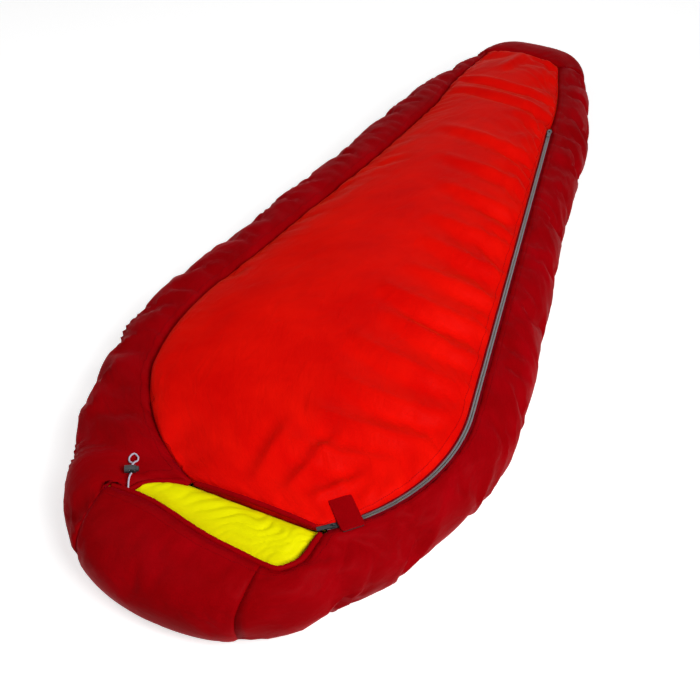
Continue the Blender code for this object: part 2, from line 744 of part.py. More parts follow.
def pull(name, distance, toward_head, look):
    """Flat pull with a window round the slider's bridge; its end bar is the hinge."""
    centre, along, across = zip_axes(distance, toward_head)
    pivot = centre + Vector((0, 0, PULL_AXIS_HEIGHT))
    bar = PULL_BAR / 2
    half = PULL_WIDTH / 2
    window = half - PULL_ARM
    outer = [(-bar, -half), (PULL_LENGTH, -half), (PULL_LENGTH, half), (-bar, half)]
    inner = [(bar, -window), (bar + PULL_WINDOW, -window), (bar + PULL_WINDOW, window), (bar, window)]
    mesh = bmesh.new()
    levels = []
    for height in (-PULL_THICKNESS / 2, PULL_THICKNESS / 2):
        loops = []
        for outline in (outer, inner):
            loops.append([mesh.verts.new(along * a + across * b + Vector((0, 0, height))) for a, b in outline])
        levels.append(loops)
    for i in range(4):
        k = (i + 1) % 4
        for outside, inside in levels:
            mesh.faces.new((outside[i], outside[k], inside[k], inside[i]))
        for loop in (0, 1):
            low, high = levels[0][loop], levels[1][loop]
            mesh.faces.new((low[i], low[k], high[k], high[i]))
    made = finish(name, mesh, look)
    made.location = pivot
    return made


# ----------------------------------------------------------- tab and patches

TAB_HEIGHT = ZIP_PLANE + PULL_AXIS_HEIGHT + BRIDGE_BORE / 2 + BRIDGE_WALL + TAB_CLEARANCE


def tab_parts(looks):
    """Tab sewn to the flap, its hook strip, and the loop strip on the side wall."""
    middle, along, across = zip_axes(TAB_START + TAB_WIDTH / 2, True)
    base = Vector((middle.x, middle.y, 0))
    up = Vector((0, 0, 1))
    half = TAB_WIDTH / 2
    station = mix(NECK_STATION, ZIP_KNEE.y, (TAB_START + TAB_WIDTH) / ZIP_ARC)
    row_width = (right_edge(station) - left_edge(station)).length
    seat = top_heights(station, 1 - TAB_REACH / row_width)[0] + 2 * GAP
    top = TAB_HEIGHT + TAB_THICKNESS
    outline = [(-TAB_REACH, seat), (0, TAB_HEIGHT), (TAB_OVERHANG, TAB_HEIGHT), (TAB_OVERHANG, top),
               (0, top), (-TAB_REACH, seat + TAB_THICKNESS)]
    tab = extruded("zip_tab", outline, Vector((0, 0, 0)), across, up, along, -half, half, looks["tab"])
    axis = base - across * TAB_REACH + up * (seat + TAB_THICKNESS + GAP)
    for vertex in tab.data.vertices:
        vertex.co = vertex.co + base - axis
    tab.location = axis
    side_top = SEAM_HEIGHT + GAP
    hook_low = (side_top + TAB_HEIGHT) / 2
    start = TAB_OVERHANG - HOOK_WIDTH
    strips = (("tab_hook_strip", hook_low + GAP / 2, TAB_HEIGHT - GAP, looks["hook"]),
              ("side_loop_strip", side_top, hook_low - GAP / 2, looks["hook"]))
    for name, low, high, look in strips:
        box = [(start, low), (TAB_OVERHANG, low), (TAB_OVERHANG, high), (start, high)]
        extruded(name, box, base, across, up, along, -half * 0.86, half * 0.86, look)


# ------------------------------------------------- edge tubes, collar, cords

def edge_path(pairs, radius):
    """Path of a tube laid against the opening's edge, just below the surface."""
    path = []
    tops = [pair["top"] for pair in pairs]
    for i, pair in enumerate(pairs):
        before = (tops[i] - tops[i - 1]).normalized() if i > 0 else (tops[1] - tops[0]).normalized()
        after = (tops[i + 1] - tops[i]).normalized() if i + 1 < len(tops) else before
        along = (before + after).normalized()
        inward = Vector((-along.y, along.x))
        if inward.dot(tops[i] - pair["rim"]) < 0:
            inward = -inward
        flat = tops[i] + inward * (radius + 2 * GAP) / along.dot(before)
        path.append(place(flat, pair["height"] - EDGE_TUBE_DROP - radius))
    return path


def hollow_tube(name, path, radius, bore, look):
    """Open tube: the outside rings out and the bore's rings back make one closed surface."""
    outside = tube_rings(path, radius)
    inside = tube_rings(path, bore)
    return loft(name, outside + inside[::-1], look, closed=True)


def casing_path():
    hood = [pair for pair in hood_pairs() if pair["top"].x > -0.125]
    return edge_path(hood + side_pairs(1)[1:1 + len(RIGHT_CORNER)], CASING_RADIUS)


def rounded_path(path, steps):
    """The path's corners eased by a smooth curve through its points."""
    eased = []
    for i in range(len(path) - 1):
        before = path[max(i - 1, 0)]
        after = path[min(i + 2, len(path) - 1)]
        start, end = path[i], path[i + 1]
        for k in range(steps):
            u = k / steps
            eased.append(0.5 * (2 * start + (end - before) * u
                                + (2 * before - 5 * start + 4 * end - after) * u ** 2
                                + (3 * start - before - 3 * end + after) * u ** 3))
    eased.append(path[-1])
    return eased


def opening_edges(looks):
    path = casing_path()
    hollow_tube("hood_edge_casing", path, CASING_RADIUS, CASING_BORE, looks["shell"])
    left = side_pairs(-1)[2:2 + len(LEFT_CORNER)]
    loft("shoulder_edge_binding", tube_rings(edge_path(left, BINDING_RADIUS), BINDING_RADIUS), looks["shell"])
    head_edge = []
    for share in spread(CREASE_START + 0.03, 0.93, 6):
        flat = mix(left_edge(NECK_STATION), right_edge(NECK_STATION), share)
        surface = top_heights(NECK_STATION, share)[0]
        flat = flat - Vector((0, BINDING_RADIUS + GAP))
        head_edge.append(place(flat, surface - EDGE_TUBE_DROP - BINDING_RADIUS))
    loft("neck_edge_binding", tube_rings(head_edge, BINDING_RADIUS), looks["shell"])


def draft_collar(look):
    """Padded roll under the neck edge that closes the face opening."""
    left = left_edge(NECK_STATION)
    right = right_edge(NECK_STATION)
    start = CREASE_START + COLLAR_END_MARGIN / (right - left).length
    stop = 1 - (ZIP_HALF_SLOT + COLLAR_END_MARGIN) / (right - left).length
    across = Vector((0, 1, 0))
    sections = []
    for i in range(9):
        share = i / 8
        swell = 0.45 + 0.55 * math.sin(math.pi * share) ** 0.6 if 0 < share < 1 else 0.45
        flat = mix(left, right, mix(start, stop, share))
        half_depth = COLLAR_DEPTH / 2 * swell
        half_height = COLLAR_HEIGHT / 2 * swell
        top = SEAM_HEIGHT - COLLAR_DROP
        facet = math.cos(math.pi / COLLAR_SIDES)
        centre = place(flat - Vector((0, GAP + half_depth * facet)), top - half_height)
        sections.append(ring(centre, across, Vector((0, 0, 1)), half_depth, half_height, COLLAR_SIDES))
    return loft("draft_collar", sections, look, smooth=True)


def collar_end(look):
    """The collar's part left of the crease, under the shoulder's edge."""
    edge = edge_path(side_pairs(-1)[2:2 + len(LEFT_CORNER)], BINDING_RADIUS)
    path = rounded_path(edge, COLLAR_END_STEPS)
    sections = []
    for i, point in enumerate(path):
        share = i / (len(path) - 1)
        swell = mix(COLLAR_END_SWELL, 1.0, math.sin(math.pi / 2 * share))
        half_depth = COLLAR_END_DEPTH / 2 * swell
        half_height = COLLAR_END_HEIGHT / 2 * swell
        along = (path[min(i + 1, len(path) - 1)] - path[max(i - 1, 0)]).normalized()
        inward = Vector((along.y, -along.x, 0)).normalized()
        facet = math.cos(math.pi / COLLAR_SIDES)
        low = SEAM_HEIGHT - EDGE_TUBE_DROP - 2 * BINDING_RADIUS - GAP - half_height * facet
        centre = Vector((point.x, point.y, low)) + inward * half_depth * COLLAR_END_OUT
        sections.append(ring(centre, inward, Vector((0, 0, 1)), half_depth, half_height, COLLAR_SIDES))
    return loft("draft_collar_end", sections, look, smooth=True)


def draft_tube(look):
    """Padded tube sewn inside the side wall, behind the zip."""
    sections = []
    marks = spread(ZIP_ARC * 0.12, ZIP_ARC, ARC_STEPS) + spread(ZIP_ARC, ZIP_LENGTH - 0.03, 6)[1:]
    for mark in marks:
        point, normal = zip_frame(mark)
        root = ZIP_HALF_SLOT - TAPE_MARGIN
        top = SEAM_HEIGHT - EDGE_QUILT - 2 * GAP
        low = top - DRAFT_TUBE_DROP
        outline = ((root, top), (root, top - 0.006), (root - 0.003, low - DRAFT_TUBE_HEIGHT * 0.7),
                   (root - DRAFT_TUBE_WIDTH * 0.5, low - DRAFT_TUBE_HEIGHT),
                   (root - DRAFT_TUBE_WIDTH, low - DRAFT_TUBE_HEIGHT * 0.5),
                   (root - DRAFT_TUBE_WIDTH * 0.7, low), (root - 0.005, low + 0.006), (root - 0.0025, top))
        sections.append([place(point + normal * reach, height) for reach, height in outline])
    return loft("draft_tube", sections, look, smooth=True)


# ------------------------------------------------------------------ cord lock

def turned(name, outline, look, sides=12):
    """Solid of revolution of (distance along, radius) points about its own X axis."""
    mesh = bmesh.new()
    rings = []
    for reach, radius in outline:
        if radius == 0:
            rings.append([mesh.verts.new((reach, 0, 0))])
            continue
        rings.append([])
        for i in range(sides):
            angle = 2 * math.pi * (i + 0.5) / sides
            rings[-1].append(mesh.verts.new((reach, radius * math.cos(angle), radius * math.sin(angle))))
    for first, second in zip(rings, rings[1:]):
        for i in range(sides):
            k = (i + 1) % sides
            corners = [first[i % len(first)], first[k % len(first)], second[k % len(second)], second[i % len(second)]]
            unique = list(dict.fromkeys(corners))
            mesh.faces.new(unique)
    return finish(name, mesh, look, smooth=True)


LOCK_CENTRE = place(LOCK_PLACE, SEAM_HEIGHT - LOCK_SEAT + LOCK_RADIUS)
LOCK_FRAME = Matrix.Translation(LOCK_CENTRE) @ Matrix.Rotation(LOCK_TURN, 4, "Z")
HOLE_REACH = LOCK_LENGTH * 0.62   # from the barrel's closed end to its cross hole


def cut_across(target, name, low, high, look):
    """Slot through a lock piece, level and square to its axis, for the two cord runs."""
    half = CORD_HOLE
    sections = []
    for side in (-1, 1):
        reach = side * LOCK_RADIUS * 1.5
        sections.append([Vector((low, reach, -half)), Vector((high, reach, -half)),
                         Vector((high, reach, half)), Vector((low, reach, half))])
    cutter = loft(name, sections, look)
    cutter.matrix_world = target.matrix_world
    cutter.hide_render = True
    cutter.display_type = "WIRE"
    cut = target.modifiers.new(name, "BOOLEAN")
    cut.operation = "DIFFERENCE"
    cut.object = cutter


def cord_lock(looks):
    """Barrel, sprung button and spring."""
    barrel = turned("cord_lock_barrel", [(0, 0), (0, LOCK_RADIUS), (LOCK_LENGTH, LOCK_RADIUS),
                                         (LOCK_LENGTH, LOCK_BORE), (LOCK_FLOOR, LOCK_BORE), (LOCK_FLOOR, 0)],
                    looks["plastic"])
    barrel.matrix_world = LOCK_FRAME
    cut_across(barrel, "cut_barrel", HOLE_REACH - CORD_HOLE, HOLE_REACH + CORD_HOLE, looks["plastic"])
    radius = LOCK_BORE - PLUNGER_GAP
    end = LOCK_LENGTH + PLUNGER_OUT
    start = end - PLUNGER_LENGTH
    button = turned("cord_lock_button", [(start, 0), (start, radius), (end - 0.001, radius),
                                         (end, radius - 0.001), (end, 0)], looks["plastic"])
    button.matrix_world = LOCK_FRAME
    cut_across(button, "cut_button", HOLE_REACH - CORD_HOLE, HOLE_REACH + CORD_HOLE + PLUNGER_TRAVEL,
               looks["plastic"])
    spring_radius = LOCK_BORE - 3 * PLUNGER_GAP - SPRING_WIRE
    low = LOCK_FLOOR + SPRING_WIRE + GAP
    high = start - SPRING_WIRE - GAP
    path = []
    steps = SPRING_TURNS * 10
    for i in range(steps + 1):
        angle = 2 * math.pi * SPRING_TURNS * i / steps
        path.append(Vector((mix(low, high, i / steps), spring_radius * math.cos(angle),
                            spring_radius * math.sin(angle))))
    rings = []
    for i, point in enumerate(path):
        along = (path[min(i + 1, steps)] - path[max(i - 1, 0)]).normalized()
        out = Vector((0, point.y, point.z)).normalized()
        rings.append(ring(point, out, along.cross(out).normalized(), SPRING_WIRE, SPRING_WIRE, 5))
    spring = loft("cord_lock_spring", rings, looks["metal"])
    spring.matrix_world = LOCK_FRAME


def lock_point(reach, aside, height):
    return LOCK_FRAME @ Vector((reach, aside, height))


def drawcord(look):
    """Cord through the casing and the lock, and its short free loop past the lock."""
    inside = casing_path()
    first = inside[0]
    along = (inside[0] - inside[1]).normalized()
    entry = lock_point(HOLE_REACH, -LOCK_RADIUS - 0.0050, -0.0018)
    exit_point = lock_point(HOLE_REACH, LOCK_RADIUS + 0.0015, -0.0018)
    lead = [inside[2], inside[1], first, first + along * 0.006]
    bend = [first + along * 0.013 + Vector((-0.001, 0.006, 0.003)), entry]
    eased = rounded_path(lead[1:] + bend + [exit_point], 4)
    path = list(reversed(inside[2:])) + eased
    loft("drawcord", tube_rings(path, CORD_RADIUS, 6), look)
    start = exit_point + (exit_point - entry).normalized() * GAP
    side = LOOP_HALF_WIDTH
    reach = LOCK_RADIUS + LOOP_REACH
    ends = [lock_point(HOLE_REACH, LOCK_RADIUS + 0.008, -0.0028),
            lock_point(HOLE_REACH - side * 0.9, mix(LOCK_RADIUS, reach, 0.45), -0.0050),
            lock_point(HOLE_REACH - side, mix(LOCK_RADIUS, reach, 0.75), -0.0058),
            lock_point(HOLE_REACH - side * 0.1, reach, -0.0062),
            lock_point(HOLE_REACH + side * 0.9, mix(LOCK_RADIUS, reach, 0.75), -0.0058),
            lock_point(HOLE_REACH + side, mix(LOCK_RADIUS, reach, 0.45), -0.0040),
            lock_point(HOLE_REACH + side * 0.55, LOCK_RADIUS + 0.008, 0.0008),
            lock_point(HOLE_REACH, LOCK_RADIUS + 0.0012, 0.0022)]
    loop = rounded_path([start] + ends, 3)
    loft("drawcord_loop", tube_rings(loop, CORD_RADIUS, 6), look)


# ---------------------------------------------------------------------- build

def build():
    clear_scene()
    bright = material("bright_shell", SHELL_RED, 0.42)
    crimson = material("crimson_shell", SHELL_CRIMSON, 0.45)
    lime = material("lime_lining", LIME, 0.5)
    wadding = material("wadding", WADDING, 0.95)
    coil = material("zip_coil", ZIP_GREY, 0.45)
    tape = material("zip_tape", (0.10, 0.004, 0.008, 1.0), 0.8)
    black = material("black_plastic", SLIDER_BLACK, 0.4)
    metal = material("spring_steel", (0.55, 0.55, 0.56, 1.0), 0.3, 1.0)
    pale = material("pale_cord", CORD_PALE, 0.75)

    top_panels((bright, wadding, lime))
    hood = hood_pairs()
    wall(("hood_panel", "hood_insulation", "hood_lining"), hood, 0.0, (crimson, wadding, lime))
    foot = foot_pairs()
    wall(("foot_end_panel", "foot_end_insulation", "foot_end_lining"), foot, SEAM_GAP,
         (crimson, wadding, lime))
    for sign, side in ((-1, "left"), (1, "right")):
        pairs = side_pairs(sign)
        names = ["side_" + kind + "_" + side for kind in ("panel", "insulation", "lining")]
        wall(names, pairs, SEAM_GAP, (crimson, wadding, lime))

    bottom_layer("bottom_panel", 0.0, SHELL, crimson)
    bottom_layer("bottom_insulation", SHELL + GAP, BOTTOM_QUILT - LINING - GAP, wadding)
    bottom_layer("bottom_lining", BOTTOM_QUILT - LINING, BOTTOM_QUILT, lime)

    zip_parts({"coil": coil, "tape": tape, "metal": black})
    lower = ZIP_LENGTH - LOWER_PARK
    for name, distance, toward_head in (("zip_slider_upper", SLIDER_PARK, True), ("zip_slider_lower", lower, True)):
        slider(name, distance, black)
        pull(name + "_pull", distance, toward_head, black)
    tab_parts({"tab": crimson, "hook": black})
    opening_edges({"shell": crimson})
    draft_collar(lime)
    collar_end(lime)
    draft_tube(lime)
    cord_lock({"plastic": black, "metal": metal})
    drawcord(pale)


build()
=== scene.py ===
"""Hooded mummy sleeping bag: the visual model over its CAD frame.

Metres, +Z up. The head end points to -Y and the zip runs down the +X side. Plan
places are (x, station), where a station is the distance from the head end.
"""
import json
import math

import bpy
import numpy as np
from mathutils import Matrix, Vector


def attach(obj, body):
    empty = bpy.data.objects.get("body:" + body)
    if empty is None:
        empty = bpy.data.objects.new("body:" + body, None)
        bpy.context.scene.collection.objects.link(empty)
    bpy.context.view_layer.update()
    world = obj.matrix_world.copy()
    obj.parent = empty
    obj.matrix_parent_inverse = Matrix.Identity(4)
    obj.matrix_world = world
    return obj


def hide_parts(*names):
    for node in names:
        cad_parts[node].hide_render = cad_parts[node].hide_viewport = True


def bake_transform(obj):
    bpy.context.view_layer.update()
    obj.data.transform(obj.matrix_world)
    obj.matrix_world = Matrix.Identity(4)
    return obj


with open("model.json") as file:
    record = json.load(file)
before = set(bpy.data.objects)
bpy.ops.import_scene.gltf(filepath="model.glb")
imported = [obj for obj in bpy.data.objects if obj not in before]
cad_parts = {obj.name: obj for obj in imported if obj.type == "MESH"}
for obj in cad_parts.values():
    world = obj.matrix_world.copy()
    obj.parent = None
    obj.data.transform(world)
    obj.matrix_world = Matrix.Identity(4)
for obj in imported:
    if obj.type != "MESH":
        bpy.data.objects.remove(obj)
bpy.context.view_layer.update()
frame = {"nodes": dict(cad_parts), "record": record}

LENGTH = 2.20
HEIGHT = 0.190
TOE_STATION = 2.08
TOE_HALF_WIDTH = 0.165
WIDTHS = ((0.02, 0.364), (0.05, 0.480), (0.12, 0.656), (0.25, 0.824), (0.42, 0.744), (0.60, 0.620),
          (0.80, 0.508))             # share of the length, width there
OUTLINE = [(share * LENGTH, width / 2) for share, width in WIDTHS] + [(TOE_STATION, TOE_HALF_WIDTH)]
SEAM_HEIGHT = 0.145
FOOT_SEAM_HEIGHT = 0.130
WAIST_HEIGHT = 0.080
BOTTOM_QUILT = 0.050
FLOOR_INSET = 0.050
CAVITY_INSET = 0.010
FOOT_EDGE_STATION = 2.060
NECK_STATION = 0.2355
NECK_LEFT = np.array((-0.047, 0.2155))
SHOULDER_SWEEP = np.array((-0.200, 0.285))
FACE_RIGHT = np.array((0.200, 0.2208))
HOOD_LIP = ((-0.175, 0.145), (-0.090, 0.142), (0.030, 0.118), (0.140, 0.111))
LEFT_CORNER = ((0.100, -0.166, 0.1535), (0.160, -0.140, 0.158), (0.190, -0.122, 0.183),
               (0.215, -0.082, 0.206))  # station on the outline, then the top edge's x and station
RIGHT_CORNER = ((0.090, 0.172, 0.116), (0.150, 0.198, 0.148), (0.200, 0.203, 0.190))
LEFT_SEAM_STATION = 0.430
LEFT_SEAM_INSET = 0.120
FOOT_EDGE_LEFT = 0.035
FOOT_EDGE_RIGHT = 0.085
HEAD_ROUND_DEPTH = 0.044
HEAD_HALF_WIDTH = 0.182
HEAD_ROUND_POWER = 2.2
FOOT_ROUND_DEPTH = 0.120
FOOT_ROUND_POWER = 4
ZIP_KNEE_STATION = 0.577
ZIP_KNEE_INSET = 0.081
ZIP_FOOT_STATION = 1.660
ZIP_FOOT_INSET = 0.099
CREASE_START = 0.08                  # share of the neck edge left of the fold
CREASE_FOOT_STATION = 1.690
SIDE_SQUARENESS = 0.87
TAB_START, TAB_WIDTH, TAB_REACH, TAB_OVERHANG = 0.023, 0.042, 0.044, 0.019
TAB_THICKNESS = 0.0015
PULL_LIFT = 0.0067                   # from the zip's plane to the tab's underside
HOOD_HEM_RADIUS = 0.0052
EDGE_HEM_RADIUS = 0.0045
CORD_DIAMETER = 0.0030
LOCK_PLACE = np.array((-0.160, 0.182))
LOCK_TURN = math.radians(28)
LOCK_HEIGHT = 0.1515
LOCK_HOLE = 0.01178                  # along the barrel to its cross hole
LOCK_RADIUS = 0.0070
ZIP_HALF_SLOT = 0.0075
ZIP_PLANE = SEAM_HEIGHT - 0.004
SIDE_QUILT = 0.080
END_QUILT = 0.060
EDGE_QUILT = 0.008
TOP_QUILT = 0.045


# ------------------------------------------------------------------ plan curves

def through(knots, t):
    """Smooth curve through (t, value) knots, with slopes from the neighbours."""
    last = len(knots) - 1
    i = 0
    while i < last - 1 and t > knots[i + 1][0]:
        i += 1
    slopes = []
    for k in (i, i + 1):
        before = knots[max(k - 1, 0)]
        after = knots[min(k + 1, last)]
        slopes.append((after[1] - before[1]) / (after[0] - before[0]))
    (t0, v0), (t1, v1) = knots[i], knots[i + 1]
    span = t1 - t0
    u = (t - t0) / span
    return ((2 * u ** 3 - 3 * u ** 2 + 1) * v0 + (u ** 3 - 2 * u ** 2 + u) * span * slopes[0]
            + (3 * u ** 2 - 2 * u ** 3) * v1 + (u ** 3 - u ** 2) * span * slopes[1])


def mix(a, b, share):
    return a + (b - a) * share


def unit(v):
    return v / np.linalg.norm(v)


def half_width(station):
    return through(OUTLINE, station)


def head_outline(x):
    return np.array((x, HEAD_ROUND_DEPTH * (abs(x) / HEAD_HALF_WIDTH) ** HEAD_ROUND_POWER))


def foot_outline(x):
    return np.array((x, LENGTH - FOOT_ROUND_DEPTH * (abs(x) / TOE_HALF_WIDTH) ** FOOT_ROUND_POWER))


def side_normal(sign, station):
    slope = (half_width(station + 0.001) - half_width(station - 0.001)) / 0.002
    return unit(np.array((-sign, slope)))


def head_normal(x):
    return unit(np.array((head_outline(x - 0.001)[1] - head_outline(x + 0.001)[1], 0.002)))


def foot_normal(x):
    return unit(np.array((foot_outline(x + 0.001)[1] - foot_outline(x - 0.001)[1], -0.002)))


def seam_height(station):
    share = (station - ZIP_FOOT_STATION) / (FOOT_EDGE_STATION - ZIP_FOOT_STATION)
    return mix(SEAM_HEIGHT, FOOT_SEAM_HEIGHT, min(max(share, 0.0), 1.0))


def crown_rise(station):
    full = HEIGHT - SEAM_HEIGHT
    knots = ((NECK_STATION, 0.22), (0.40, 0.66), (0.66, 1.0), (1.45, 1.0), (FOOT_EDGE_STATION, 0.36))
    if station <= NECK_STATION:
        return full * knots[0][1]
    if knots[2][0] <= station <= knots[3][0]:
        return full
    return full * min(through(knots, station), 1.0)


ZIP_KNEE = np.array((half_width(ZIP_KNEE_STATION) - ZIP_KNEE_INSET, ZIP_KNEE_STATION))
ZIP_FOOT = np.array((half_width(ZIP_FOOT_STATION) - ZIP_FOOT_INSET, ZIP_FOOT_STATION))
ZIP_RUN = unit(ZIP_KNEE - ZIP_FOOT)
ZIP_INWARD = np.array((ZIP_RUN[1], -ZIP_RUN[0]))
ZIP_CHORD = FACE_RIGHT - ZIP_KNEE
ZIP_RADIUS = ZIP_CHORD @ ZIP_CHORD / (2 * (ZIP_CHORD @ ZIP_INWARD))
ZIP_CENTRE = ZIP_KNEE + ZIP_INWARD * ZIP_RADIUS
ZIP_KNEE_ANGLE = math.atan2(*(ZIP_KNEE - ZIP_CENTRE)[::-1])
ZIP_HEAD_ANGLE = math.atan2(*(FACE_RIGHT - ZIP_CENTRE)[::-1])
ZIP_ARC = ZIP_RADIUS * (ZIP_KNEE_ANGLE - ZIP_HEAD_ANGLE)
ZIP_LENGTH = ZIP_ARC + np.linalg.norm(ZIP_FOOT - ZIP_KNEE)


def zip_frame(distance):
    """Place on the zip's line and its outward normal, by distance from the head end."""
    if distance <= ZIP_ARC:
        angle = ZIP_HEAD_ANGLE + distance / ZIP_RADIUS
        normal = np.array((math.cos(angle), math.sin(angle)))
        return ZIP_CENTRE + normal * ZIP_RADIUS, normal
    return ZIP_KNEE - ZIP_RUN * (distance - ZIP_ARC), -ZIP_INWARD


def zip_distance(station):
    if station <= ZIP_KNEE[1]:
        return ZIP_ARC * (station - NECK_STATION) / (ZIP_KNEE[1] - NECK_STATION)
    return ZIP_ARC + (station - ZIP_KNEE[1]) / -ZIP_RUN[1]


def left_edge(station):
    end = np.array((LEFT_SEAM_INSET - half_width(LEFT_SEAM_STATION), LEFT_SEAM_STATION))
    if station < LEFT_SEAM_STATION:
        t = (station - NECK_STATION) / (LEFT_SEAM_STATION - NECK_STATION)
        return NECK_LEFT * (1 - t) ** 2 + SHOULDER_SWEEP * 2 * t * (1 - t) + end * t ** 2
    share = max(0.0, (station - ZIP_FOOT_STATION) / (FOOT_EDGE_STATION - ZIP_FOOT_STATION))
    return np.array((mix(LEFT_SEAM_INSET, FOOT_EDGE_LEFT, share) - half_width(station), station))


def right_edge(station):
    if station <= ZIP_FOOT_STATION:
        return zip_frame(zip_distance(station))[0]
    share = (station - ZIP_FOOT_STATION) / (FOOT_EDGE_STATION - ZIP_FOOT_STATION)
    return np.array((half_width(station) - mix(ZIP_FOOT_INSET, FOOT_EDGE_RIGHT, share), station))


def zip_normal(station):
    return zip_frame(zip_distance(station))[1]


def slot_gap(station):
    """Half the gap on the panel's right: the zip's slot closes to a seam past its end."""
    share = min(max((station - ZIP_FOOT_STATION) / 0.012, 0.0), 1.0)
    return mix(ZIP_HALF_SLOT, 0.0003, share)


def top_heights(station, share):
    share = min(max(share, 0.0), 1.0)
    bulge = (4 * share * (1 - share)) ** 0.8
    taper = math.sin(math.pi * share) ** 0.7 if 0 < share < 1 else 0.0
    return seam_height(station) + crown_rise(station) * bulge, mix(EDGE_QUILT, TOP_QUILT, taper)


CREASE_HEAD = mix(left_edge(NECK_STATION), right_edge(NECK_STATION), CREASE_START)
CREASE_FOOT = zip_frame(zip_distance(CREASE_FOOT_STATION))[0]
CREASE_RUN = unit(CREASE_FOOT - CREASE_HEAD)


def place(flat, height):
    return np.array((flat[0], flat[1] - LENGTH / 2, height))


# ---------------------------------------------------------------- wall profiles

def pair(top, height, edge, rim, normal, quilt):
    """One profile of a wall: its top edge, height and thickness, then the outline's point,
    normal and quilt."""
    return np.array((*top, height, edge, *rim, *normal, quilt))


def hood_pair(share):
    x = mix(HOOD_LIP[0][0], HOOD_LIP[-1][0], share)
    arch = max(0.0, math.sin(math.pi * share))
    return pair((x, through(HOOD_LIP, x)), SEAM_HEIGHT + 0.008 * arch, mix(EDGE_QUILT, 0.020, arch),
                head_outline(x), head_normal(x), END_QUILT)


def foot_pair(share):
    x = TOE_HALF_WIDTH * math.cos(math.pi * share)
    surface, thickness = top_heights(FOOT_EDGE_STATION, 1 - share)
    top = mix(right_edge(FOOT_EDGE_STATION), left_edge(FOOT_EDGE_STATION), share)
    return pair(top, surface, thickness, foot_outline(x), foot_normal(x), END_QUILT)


def side_pair(sign, station):
    edge = right_edge(station) if sign > 0 else left_edge(station)
    if sign > 0:
        edge = edge + zip_normal(station) * slot_gap(station)
    return pair(edge, seam_height(station), EDGE_QUILT, (sign * half_width(station), station),
                side_normal(sign, station), SIDE_QUILT)


def corner_pairs(sign):
    corner = RIGHT_CORNER if sign > 0 else LEFT_CORNER
    pairs = [hood_pair(1.0 if sign > 0 else 0.0)]
    for i, (station, x, along) in enumerate(corner):
        quilt = mix(END_QUILT, SIDE_QUILT, (i + 1) / (len(corner) + 1))
        pairs.append(pair((x, along), SEAM_HEIGHT, EDGE_QUILT, (sign * half_width(station), station),
                          side_normal(sign, station), quilt))
    return pairs


def eased(pairs, steps):
    """Smooth curve through a few profiles, with some steps between each two."""
    made = []
    for i in range(len(pairs) - 1):
        before = pairs[max(i - 1, 0)]
        start, end = pairs[i], pairs[i + 1]
        after = pairs[min(i + 2, len(pairs) - 1)]
        for k in range(steps):
            u = k / steps
            made.append(0.5 * (2 * start + (end - before) * u
                               + (2 * before - 5 * start + 4 * end - after) * u ** 2
                               + (3 * start - before - 3 * end + after) * u ** 3))
    return made


def side_run(sign, step):
    """Profiles of a side wall, from the hood's seam to the foot's corner."""
    first = side_pair(sign, NECK_STATION)
    corner = corner_pairs(sign) + [first, side_pair(sign, NECK_STATION + 0.04)]
    run = eased(corner, max(2, round(0.045 / step)))
    run = [p for p in run if p[5] < NECK_STATION - step / 2]
    count = round((FOOT_EDGE_STATION - 0.012 - NECK_STATION) / step)
    end = FOOT_EDGE_STATION - 0.012
    run += [side_pair(sign, mix(NECK_STATION, end, i / count)) for i in range(count + 1)]
    last = foot_pair(0.0 if sign > 0 else 1.0)
    run += [mix(run[-1], last, share) for share in (0.35, 0.7, 1.0)]
    return run


def wall_grid(run, steps):
    """Outer and cavity points of a run of profiles, from the top edge over the side to the floor."""
    outer = np.zeros((len(run), 2 * steps + 1, 3))
    inner = np.zeros_like(outer)
    for i, p in enumerate(run):
        top, height, edge, rim, normal, quilt = p[0:2], p[2], p[3], p[4:6], unit(p[6:8]), p[8]
        inward = unit(top - rim)
        cavity = rim + inward * min(quilt, np.linalg.norm(top - rim) * 0.97)
        for j in range(2 * steps + 1):
            if j <= steps:
                angle = math.pi / 2 * j / steps
                out = math.sin(angle) ** SIDE_SQUARENESS
                up = max(math.cos(angle), 0.0) ** SIDE_SQUARENESS if j < steps else 0.0
                outer[i, j] = place(mix(top, rim, out), mix(WAIST_HEIGHT, height, up))
                inner[i, j] = place(mix(top, cavity, out), mix(WAIST_HEIGHT, height - edge, up))
            else:
                angle = math.pi / 2 * (j - steps) / steps
                under = 1 - math.cos(angle)
                low = WAIST_HEIGHT * (1 - math.sin(angle))
                outer[i, j] = place(rim + normal * FLOOR_INSET * under, low)
                inner[i, j] = place(cavity + normal * CAVITY_INSET * under,
                                    mix(WAIST_HEIGHT, BOTTOM_QUILT, math.sin(angle)))
    return outer, inner


def top_grid(step, across):
    count = round((FOOT_EDGE_STATION - NECK_STATION) / step)
    outer = np.zeros((count + 1, across + 1, 3))
    inner = np.zeros_like(outer)
    for i in range(count + 1):
        station = mix(NECK_STATION, FOOT_EDGE_STATION, i / count)
        left, right = left_edge(station), right_edge(station)
        width = np.linalg.norm(right - left)
        high = 1 - slot_gap(station) / width
        for k in range(across + 1):
            share = high * k / across
            surface, thickness = top_heights(station, share)
            flat = mix(left, right, share)
            outer[i, k] = place(flat, surface)
            inner[i, k] = place(flat, surface - thickness)
    return outer, inner


# --------------------------------------------------------------- noise and folds

def hashed(cell, seed):
    """Repeatable numbers from 0 to 1 for whole-numbered cells."""
    value = np.sin(cell[..., 0] * 127.1 + cell[..., 1] * 311.7 + seed * 74.7) * 43758.5453
    return value - np.floor(value)


